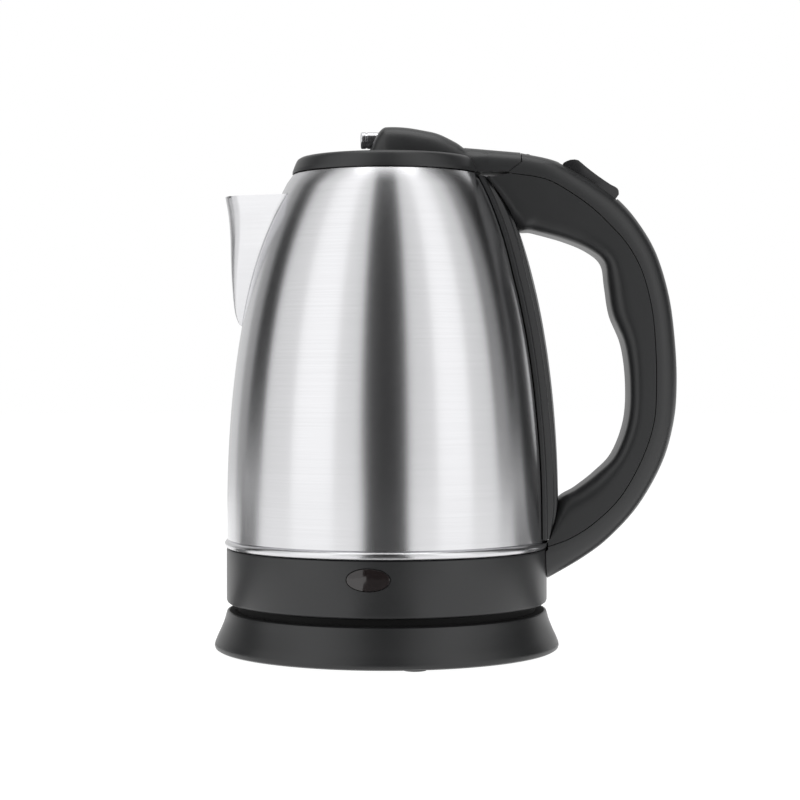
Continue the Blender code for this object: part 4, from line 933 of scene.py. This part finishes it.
def in_switch(along_it, out_of_it):
    """A point in the switch's own frame: along the handle's back, and out of it."""
    before, here = (off_wall(*HANDLE_STATIONS[i][2]) for i in (2, 3))
    along = (here - before).normalized()
    out = Vector((-along.z, 0, along.x))
    out = out if out.z > 0 else -out
    return mixed(before, here, 0.75) + out * 0.4 + along * along_it + out * out_of_it


along = in_switch(1, 0) - in_switch(0, 0)
SWITCH_TILT = math.degrees(math.atan2(-along.z, along.x))
ROCKER_HALF_W = high("switch_rocker").y
SOFT_FROM = 18  # the row from which the cover's back is at its roundest
cover_rows = []
for i, (_, seam, outer) in enumerate(stations):
    cover_rows.append(cover_row(seam, outer, min(i / SOFT_FROM, 1)))
cover = walled(sheet("cover_moulding", cover_rows), HANDLE_WALL)
window_size = (31.0, 2 * ROCKER_HALF_W + 0.8, 26)
rocker_window = block("rocker_window", window_size, in_switch(-0.4, 1.0), SWITCH_TILT)
hinge_slot = block("hinge_slot", (16, 12, 14), (HINGE.x - 5.0, 0, HINGE.z - 0.5))
tongue_foot = (HINGE.x - 8.7, LID_Z + 0.1)
tongue_kink = (HINGE.x - 2.9, LID_Z + 4.6)
tongue_top = (HINGE.x - 2.9, LID_Z + 9.9)
room = [(tongue_foot[0] - 2, tongue_foot[1] - 1.6), tongue_kink, (tongue_top[0], LID_Z + 20)]
room += [(MOUTH_R - 5, LID_Z + 20), (MOUTH_R - 5, LID_Z - 1.5)]
tongue_room = prism("tongue_room", room, "Y", -20, 20)
carved(cover, rocker_window, hinge_slot, tongue_room, clear_of_wall("cover_trim"))
smoothed(cover, 34)
placed(cover, "kettle", "plastic_black", BLACK, "handle_cover")

# %% [markdown]
# ## The mounting strip
#
# A moulded strip runs down the steel behind the handle: a thin flange, a ledge, then a raised
# panel, with a groove before each step. Its width and thickness change with height, so it is a
# sheet over level rows. Small ramps at each step catch the light as the thin lines seen from the
# side.

# %% The mounting strip
STRIP_HALF_W, STRIP_TOP_HALF_W = 24.0, 16.5


def strip_half_width(z):
    share = (z - WALL_FOOT_Z) / WALL_H
    foot = mixed(STRIP_HALF_W - 3, STRIP_HALF_W, min(share / 0.35, 1))
    return mixed(foot, STRIP_TOP_HALF_W, max((share - 0.72) / 0.28, 0))


def strip_row(z):
    """A level section: flange, groove, ledge, a second groove and the raised panel."""
    half, thick = strip_half_width(z), strip_thickness(z)
    flange = min(FLANGE_T, 0.8 * thick)
    ledge = mixed(flange, thick, 0.7)
    steps = [
        (half, 0), (half, flange - 0.3), (half - 0.35, flange), (half - 2.6, flange),
        (half - 2.9, flange - 0.5), (half - 3.5, flange - 0.5),
        (half - 4.0, ledge - 0.25), (half - 4.3, ledge), (half - 6.3, ledge),
        (half - 6.6, ledge - 0.4), (half - 7.1, ledge - 0.4),
        (half - 7.6, thick - 0.2), (half - 8.0, thick), (0.4 * half, thick), (0, thick),
    ]
    full = steps + [(-y, h) for y, h in steps[-2::-1]]
    base_r = wall_radius(z) + SEAT_GAP
    return [(math.sqrt((base_r + h) ** 2 - y * y), y, z) for y, h in full]


STRIP_WALL = 0.35
strip_foot, strip_top = low("handle_strip").z, high("handle_strip").z
strip_rows = [strip_row(mixed(strip_foot, strip_top, i / 70)) for i in range(71)]
strip = walled(sheet("strip_moulding", strip_rows), STRIP_WALL)
smoothed(strip, 20)
placed(strip, "kettle", "plastic_black", BLACK, "handle_strip")

# %% [markdown]
# ## The lid
#
# The lid is a low dome with a hump on it, like a ship's wheelhouse, which houses the release
# button. A tongue runs back from the hump to the hinge. The dome is turned, the hump and the
# tongue are sheets over arches, and one union makes them a single moulding.

# %% The lid's dome
LID_WALL = 2.2
rim, deck = LID_Z + 7.0, LID_Z + 9.3
dome = [(0, deck), (0.3 * LID_R, deck - 0.25), (0.62 * LID_R, deck - 1.05), (LID_R - 3.6, rim)]
shoulder = [
    (LID_R - 3.4, rim - 0.05), (LID_R - 2.2, rim - 0.9),
    (LID_R - 1.3, rim - 2.6), (LID_R, LID_Z + 1.0),
]
lid_profile = [
    *[tuple(point) for point in smooth_path(dome, 8)],
    *[tuple(point) for point in smooth_path(shoulder, 4)],
    (LID_R, LID_Z),
    (LID_R - 2.8, LID_Z),
    (LID_R - 5.6, rim - LID_WALL),
    (0, deck - LID_WALL),
]
lid = turned("lid_moulding", lid_profile, steps=FINE)
print("dome:", len(lid.data.polygons), "faces")

# %% [markdown]
# The hump's front leans back in a soft S. Each arch across it is broad at the foot and flatter on
# top. Its first arches start under the dome's surface, so the union leaves a clean line where the
# two meet, and a small bevel softens that line at the end.

# %% The hump
HUMP_TOP_Z, HUMP_HALF_W = LID_TOP_Z, 14.5
BUTTON_X, BUTTON_Z = low("lid_button").x, middle("lid_button")[2]
BUTTON_R = (high("lid_button").z - low("lid_button").z) / 2
nose = BUTTON_X + 2.2
# Each station is its place along the lid, its height and its half width.
HUMP_STATIONS = (
    (nose - 1.2, deck - 1.2, 8.4), (nose, deck + 0.2, 9.0),
    (nose + 2.2, deck + 2.1, 10.7), (nose + 4.8, deck + 7.7, 12.5),
    (nose + 7.6, HUMP_TOP_Z - 0.8, 13.3), (nose + 10.6, HUMP_TOP_Z, 13.9),
    (nose + 18.1, HUMP_TOP_Z - 0.3, HUMP_HALF_W), (nose + 25.6, HUMP_TOP_Z - 1.5, HUMP_HALF_W),
    (nose + 32.9, HUMP_TOP_Z - 3.2, HUMP_HALF_W), (nose + 40.6, HUMP_TOP_Z - 7.0, HUMP_HALF_W),
    (nose + 46.3, HUMP_TOP_Z - 10.6, HUMP_HALF_W), (MOUTH_R + 2, HUMP_TOP_Z - 11.0, HUMP_HALF_W),
)


def arch(x, top, half_width, foot):
    outline = half_round(0.6, 0.75, 24)
    return [Vector((x, y * half_width, mixed(foot, top, up))) for y, up in outline]


def closed_loft(name, rows):
    """A closed skin: each row is closed along its foot, and the first and last rows are filled."""
    obj = sheet(name, [[*row, row[0]] for row in rows])
    bpy.ops.object.mode_set(mode="EDIT")
    bpy.ops.mesh.select_all(action="SELECT")
    bpy.ops.mesh.remove_doubles(threshold=MERGE)
    bpy.ops.mesh.select_all(action="DESELECT")
    bpy.ops.mesh.select_non_manifold(extend=False)
    bpy.ops.mesh.fill()
    return tidied(obj)


hump_foot = LID_Z + 2.2
hump = closed_loft("hump", [arch(*point, hump_foot) for point in smooth_path(HUMP_STATIONS, 5)])
print("hump:", len(hump.data.polygons), "faces")

# %% [markdown]
# The tongue carries the hump's line back to the handle. It starts upright inside the hump and ends
# in the cover's own slant, with a hair's gap to it. A knuckle on a short arm reaches the hinge pin.
# The hump is hollow, to hold the button and its spring, and a round well lets the button in.

# %% The tongue, the knuckle and the hollow
TONGUE_GAP = 0.35
KNUCKLE_R, KNUCKLE_HALF_W = 2.2, 5.5
WELL_GAP, WELL_LENGTH = 0.4, 23.6


def tongue_row(share):
    """An arch like the cover's bowl, whose upright plane turns into the slanted end."""
    (foot_x, foot_z), (kink_x, kink_z) = tongue_foot, tongue_kink
    top_z = mixed(HUMP_TOP_Z - 9.4, tongue_top[1] - 0.2, share)
    points = []
    for y, up in half_round(0.62, 0.8, 24):
        z = mixed(foot_z, top_z, up)
        slant = min((z - foot_z) / (kink_z - foot_z), 1)
        end_x = mixed(foot_x, kink_x, slant) - TONGUE_GAP
        points.append(Vector((mixed(MOUTH_R - 8, end_x, share), y * HUMP_HALF_W, z)))
    return points


tongue = closed_loft("tongue", [tongue_row(i / 10) for i in range(11)])
hollow_rows = []
for x, top, half_width in smooth_path(HUMP_STATIONS[3:10], 4):
    hollow_rows.append(arch(x + 1.5, top - LID_WALL, half_width - LID_WALL, LID_Z - 1))
hollow = closed_loft("hump_hollow", hollow_rows)
knuckle = rod("knuckle", KNUCKLE_R, -KNUCKLE_HALF_W, KNUCKLE_HALF_W, 40, HINGE, "Y")
arm = block("knuckle_arm", (8, 2 * KNUCKLE_HALF_W, 3.4), (HINGE.x - 4.2, 0, HINGE.z + 0.2))
carved(lid, hump, tongue, arm, knuckle, operation="UNION")
well_mouth = (BUTTON_X - 4, 0, BUTTON_Z)
well = rod("button_well", BUTTON_R + WELL_GAP, 0, WELL_LENGTH, 48, well_mouth, "X")
carved(lid, hollow, well)
rounded(lid, 0.35, 2, 35)
smoothed(lid)
placed(lid, "lid", "plastic_black", BLACK, "lid_cover")

# %% [markdown]
# ## Under the lid
#
# Open the lid and a steel pan shows, with a silicone ring round it that seals the mouth. Both are
# turned. The pan has a slot for the latch and two bores for its screws, so cutters of the same
# shapes are taken out of it.

# %% The lid's pan and seal
PAN_WALL, PAN_EDGE_R, PAN_DISH = 1.4, 1.0, 0.35
PAN_BORE_R = 1.5
pan_r, pan_rim = high("lid_inner_plate").y, high("lid_inner_plate").z
pan_floor = low("lid_inner_plate").z
pan_profile = [
    (0, pan_floor + PAN_WALL), (pan_r - PAN_WALL, pan_floor + PAN_WALL),
    (pan_r - PAN_WALL, pan_rim), (pan_r, pan_rim),
    *arc((pan_r - PAN_EDGE_R, pan_floor + PAN_EDGE_R), PAN_EDGE_R, 0, -90, 6),
    (0.94 * pan_r - 1.0, pan_floor), (0.90 * pan_r - 1.0, pan_floor + PAN_DISH),
    (0, pan_floor + PAN_DISH),
]
pan = turned("lid_pan", pan_profile)
latch_size = (14, high("latch_bar").y * 2 + 1.0, 3.2)
cutters = [block("latch_slot", latch_size, (-pan_r, 0, low("latch_bar").z + 1.0))]
for screw in ("lid_screw_1", "lid_screw_2"):
    x, y, _ = middle(screw)
    cutters.append(rod(f"{screw}_bore", PAN_BORE_R, -4, 4, 32, (x, y, pan_floor)))
carved(pan, *cutters)
smoothed(pan)
placed(pan, "lid", "steel_brushed", STEEL_FLAT, "lid_inner_plate")

seal_low, seal_high = low("lid_gasket").z, high("lid_gasket").z
seal_half, seal_inside = (seal_high - seal_low) / 2, pan_r + 0.3
seal_centre = (high("lid_gasket").y - seal_half, middle("lid_gasket")[2])
seal_profile = [(seal_inside, seal_high), *arc(seal_centre, seal_half, 90, -90, 10)]
seal_profile += [(seal_inside, seal_low)]
seal = smoothed(turned("lid_seal", seal_profile), 40)
placed(seal, "lid", "silicone", SILICONE, "lid_gasket")

# %% [markdown]
# ## The cordless connector
#
# The kettle turns freely on its base because the connector is round: a grey tower in the base with
# ring-shaped grooves, and a black cup in the kettle that drops over it. Lift the kettle and both
# show. They are turned like the rest, with softened edges.

# %% The tower and the cup
TOWER_R, TOWER_EDGE_R = 17.0, 0.8
FLANGE_R, FLANGE_TOP_Z, FLANGE_LOW_Z = 25.0, 14.8, 13.0
tower_top, tower_low = high("base_socket").z, low("base_socket").z
tower_profile = [
    (0, 15.0), (3.0, 15.0), (3.0, tower_top - 0.6), (3.6, tower_top),
    (8.4, tower_top), (8.4, 17.0), (11.6, 17.0), (11.6, tower_top),
    (13.0, tower_top), (13.0, 19.0), (15.4, 19.0), (15.4, tower_top),
    *arc((TOWER_R - TOWER_EDGE_R, tower_top - TOWER_EDGE_R), TOWER_EDGE_R, 90, 0, 5),
    (TOWER_R, FLANGE_TOP_Z), (FLANGE_R, FLANGE_TOP_Z), (FLANGE_R, FLANGE_LOW_Z),
    (15.0, FLANGE_LOW_Z), (15.0, tower_low), (0, tower_low),
]
tower = smoothed(turned("socket_tower", tower_profile, steps=96))
placed(tower, "power_base", "plastic_grey", GREY, "base_socket")

CUP_R, CUP_INSIDE_R, CUP_FLANGE_R, PIN_BORE_R = 21.1, 17.6, 24.5, 2.5
cup_top, cup_low, cup_flange = high("plug_housing").z, low("plug_housing").z, COLLAR_Z + 2.6
roof = tower_top + 0.5  # the cup's ceiling, with two grooves in it for the contact rings
groove_top = roof + 1.3
cup_profile = [
    (PIN_BORE_R, cup_top), (CUP_R, cup_top), (CUP_R, cup_flange + 3),
    (CUP_FLANGE_R, cup_flange + 3), (CUP_FLANGE_R, cup_flange), (CUP_R, cup_flange),
    (CUP_R, cup_low + 0.5), (CUP_R - 0.5, cup_low), (CUP_INSIDE_R + 0.8, cup_low),
    (CUP_INSIDE_R, cup_low + 0.8), (CUP_INSIDE_R, roof),
    (14.8, roof), (14.8, groove_top), (13.6, groove_top), (13.6, roof),
    (10.6, roof), (10.6, groove_top), (9.4, groove_top), (9.4, roof), (PIN_BORE_R, roof),
]
cup = smoothed(turned("plug_cup", cup_profile, steps=96))
placed(cup, "coupler", "plastic_black", BLACK, "plug_housing")

# %% [markdown]
# ## The release button
#
# The button is turned bar, chromed, with a dished nose and a shallow groove round it. Its profile
# lies along X, so it is turned upright first and then laid down.

# %% The release button
BUTTON_EDGE_R, RING_DEPTH = 0.7, 0.25
button_length = high("lid_button").x - BUTTON_X
button_profile = [
    (0, 0.35), (1.6, 0.25), (2.5, 0),
    *arc((BUTTON_R - BUTTON_EDGE_R, BUTTON_EDGE_R), BUTTON_EDGE_R, -90, 0, 4),
    (BUTTON_R, 2.2), (BUTTON_R - RING_DEPTH, 2.4), (BUTTON_R - RING_DEPTH, 2.9), (BUTTON_R, 3.1),
    (BUTTON_R, button_length), (0, button_length),
]
button = turned("release_button", button_profile, 96, (BUTTON_X, 0, BUTTON_Z), "X")
smoothed(button)
placed(button, "lid_button", "chrome", CHROME, "lid_button")

# %% [markdown]
# ## The rocker
#
# The on-off rocker lies in the handle's back. Seen from the side it has a raised lip at the front,
# a dished top and a rounded rear. That side outline is a prism across the handle, with its edges
# rounded the way a moulding is.

# %% The rocker
ROCKER_BORE_R = 1.3
rocker_points = [
    (-14.2, -0.4), (-13.4, 1.0), (-12.2, 2.4), (-10.6, 3.5), (-9.0, 4.0), (-7.2, 3.7),
    (-4.2, 3.15), (-1.2, 2.75), (2.0, 2.4), (5.1, 2.15), (9.0, 1.95), (11.2, 2.1),
    (12.4, 2.0), (13.4, 1.4), (14.4, 0.0),
    (14.0, -3.6), (4.0, -10.4), (-4.0, -10.4), (-13.6, -3.6),
]
flat_rocker = [(point.x, point.z) for point in (in_switch(*spot) for spot in rocker_points)]
rocker = prism("rocker", flat_rocker, "Y", -ROCKER_HALF_W, ROCKER_HALF_W)
pin_x, _, pin_z = middle("rocker_pin")
carved(rocker, rod("rocker_bore", ROCKER_BORE_R, -12, 12, 32, (pin_x, 0, pin_z), "Y"))
smoothed(rounded(rocker, 0.6, 3, 40))
placed(rocker, "rocker", "plastic_black", GLOSS_BLACK, "switch_rocker")

# %% [markdown]
# ## The button's spring
#
# A coil spring pushes the button back out. When the button is pressed the spring shortens. Here it
# is a wire swept round a helix, riding on the lid with a mesh of its own.

# %% The spring
COILS, TURN_STEPS, COIL_R, SPRING_WIRE_R = 6, 24, 1.8, 0.3
spring_low, spring_high = low("button_spring"), high("button_spring")
spring_axis_z = middle("button_spring")[2]
helix = []
for i in range(COILS * TURN_STEPS + 1):
    a, share = math.tau * i / TURN_STEPS, i / (COILS * TURN_STEPS)
    x = mixed(spring_low.x + SPRING_WIRE_R, spring_high.x - SPRING_WIRE_R, share)
    helix.append((x, COIL_R * math.cos(a), spring_axis_z + COIL_R * math.sin(a)))
spring = swept("return_spring", helix, SPRING_WIRE_R)
placed(spring, "lid", "steel_plain", PLATED, "button_spring")
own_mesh(spring)

# %% [markdown]
# ## Studio
#
# A product shot of brushed steel is a picture of its lights. Two big soft panels stand left and
# right of the camera, each with a brighter core. Between them and beside them the room is dark, and
# those gaps draw the dark bands down the steel. The camera sees a plain white backdrop, which the
# reflections don't.

# %% Materials of the room


def emitter(name, strength):
    """A plain white glow."""
    material = bpy.data.materials.new(name)
    material.use_nodes = True
    tree = material.node_tree
    tree.nodes.remove(tree.nodes["Principled BSDF"])
    emission = tree.nodes.new("ShaderNodeEmission")
    emission.inputs["Color"].default_value = (1, 1, 1, 1)
    emission.inputs["Strength"].default_value = strength
    tree.links.new(emission.outputs[0], tree.nodes["Material Output"].inputs["Surface"])
    return material


def hidden_from(obj, *rays):
    for ray in rays:
        setattr(obj, f"visible_{ray}", False)


def stage_piece(obj, material):
    coated(obj, material)
    return obj


ROOM_WHITE = emitter("room_white", 1.0)
ROOM_BLACK = emitter("room_black", 0.02)
MAT_BLACK = emitter("mat_black", 0.11)
print("room materials ready")

# %% [markdown]
# The walls of light are planes that glow. Each one covers the directions that its reflection fills
# on the steel, measured as angles round the kettle from the camera's side. Sizes in the studio are
# in metres.

# %% Panels and cards of light
PANEL_H, PANEL_BOTTOM = 3.0, -0.2


def panel(name, azimuth, distance, width, height, bottom, material):
    """An upright panel that faces the kettle, its azimuth positive to the camera's right."""
    deselect()
    bpy.ops.mesh.primitive_plane_add(size=1)
    obj = named(name)
    a = math.radians(azimuth)
    spot = Vector((math.sin(a) * distance, -math.cos(a) * distance, bottom + height / 2))
    upright = Matrix.Rotation(a, 4, "Z") @ Matrix.Rotation(math.pi / 2, 4, "X")
    obj.data.transform(Matrix.Translation(spot) @ upright @ Matrix.Diagonal((width, height, 1, 1)))
    return stage_piece(obj, material)


LIGHTS = (  # azimuth, distance, width, strength
    ("left_panel", -57, 0.85, 1.42, 0.92),
    ("left_core", -52, 0.80, 0.46, 1.3),
    ("right_panel", 49, 0.85, 1.14, 0.88),
    ("right_core", 48, 0.80, 0.36, 1.3),
    ("right_card", 91, 0.85, 0.16, 0.3),
    ("back_card", 180, 0.95, 2.6, 0.7),
    ("left_soft_card", -125, 0.80, 0.22, 0.38),
)
for name, azimuth, distance, width, strength in LIGHTS:
    glow = emitter(f"{name}_glow", strength)
    light = panel(name, azimuth, distance, width, PANEL_H, PANEL_BOTTOM, glow)
    hidden_from(light, "camera", "shadow")

TOP_LIGHT_PLACE, TOP_LIGHT_SIZE, TOP_LIGHT_STRENGTH = (0, 0.1, 1.9), (1.3, 1.1, 1, 1), 2.2
deselect()
bpy.ops.mesh.primitive_plane_add(size=1)
top_light = named("top_light")
face_down = Matrix.Rotation(math.pi, 4, "X")
overhead = Matrix.Translation(TOP_LIGHT_PLACE)
top_light.data.transform(overhead @ face_down @ Matrix.Diagonal(TOP_LIGHT_SIZE))
stage_piece(top_light, emitter("top_glow", TOP_LIGHT_STRENGTH))
hidden_from(top_light, "camera", "shadow")
print(len(LIGHTS), "upright lights and one above")

# %% [markdown]
# The floor lies a hair under the rubber feet, so that the two never share a plane. It glows as
# brightly as the backdrop, so that no horizon and no shadow show, as in a catalogue picture.

# %% Floor and backdrop
FLOOR_GAP = 0.0002
FLOOR_R, BACKDROP_R = 6.0, 5.5
deselect()
bpy.ops.mesh.primitive_circle_add(
    vertices=96, radius=FLOOR_R, fill_type="NGON", location=(0, 0, -FLOOR_GAP)
)
floor = named("floor")
FLOOR_GREY = (0.16, 0.16, 0.16)
PALE = Finish("pale_floor", FLOOR_GREY, 0.8, Specular_IOR_Level=0.0, Emission_Strength=1.0)
PALE.shader.inputs["Emission Color"].default_value = (1, 1, 1, 1)
PALE.set_roughness(PALE.noise(PALE.object, 30.0, 3.0) * 0.1 + 0.75)
stage_piece(floor, PALE.material)

world = bpy.data.worlds.new("dark_room")
world.use_nodes = True
world.node_tree.nodes["Background"].inputs["Color"].default_value = (0, 0, 0, 1)
bpy.context.scene.world = world

deselect()
bpy.ops.mesh.primitive_uv_sphere_add(segments=64, ring_count=32, radius=BACKDROP_R)
backdrop = named("backdrop")
stage_piece(backdrop, ROOM_WHITE)
hidden_from(backdrop, "glossy", "diffuse", "shadow", "transmission")
print("floor", 2 * FLOOR_R, "m across")

# %% [markdown]
# The steel also reflects the floor, which would fill the lower end of its dark bands. So a dark
# card stands in the middle, and dark mats lie on the floor under each gap between the panels. Only
# reflections see them.

# %% Dark card and mats
MAT_HEIGHT = 0.6  # in millimetres, just off the floor


def floor_mat(name, start, end, near=0.1, far=0.95):
    """A dark wedge that lies on the floor between two azimuths."""
    corners = []
    for azimuth, reach in ((start, near), (end, near), (end, far), (start, far)):
        a = math.radians(azimuth)
        corners.append((math.sin(a) * reach / MM, -math.cos(a) * reach / MM, MAT_HEIGHT))
    return stage_piece(tidied(flat_face(name, corners)), MAT_BLACK)


dark_things = [
    panel("dark_card", 0, 0.6, 0.3, 2.4, -0.05, ROOM_BLACK),
    floor_mat("centre_mat", -14, 14),
    floor_mat("left_mat", -122, -98),
    floor_mat("right_mat", 96, 120),
]
for item in dark_things:
    hidden_from(item, "camera", "shadow", "diffuse")
print("dark things:", [item.name for item in dark_things])

# %% [markdown]
# ## Camera
#
# The kettle is seen square from the side, from about the middle of its height, through a long lens
# from about 90 cm, so that the base shows as a shallow ellipse and the lid almost as a line.

# %% Camera
EYE = (0.0077, -0.9037, 0.1247)
LOOK_DOWN, TURN_LEFT = 0.73, 0.11  # degrees
camera_data = bpy.data.cameras.new("camera")
camera_data.lens, camera_data.sensor_width = 89.8, 36.0
camera_data.clip_start, camera_data.clip_end = 0.01, 30.0
camera = bpy.data.objects.new("camera", camera_data)
bpy.context.scene.collection.objects.link(camera)
camera.location = EYE
camera.rotation_euler = (math.radians(90 - LOOK_DOWN), 0, math.radians(TURN_LEFT))
bpy.context.scene.camera = camera
scene = bpy.context.scene
scene.view_settings.view_transform = "Standard"
scene.view_settings.look = "None"
print("camera lens:", camera_data.lens)
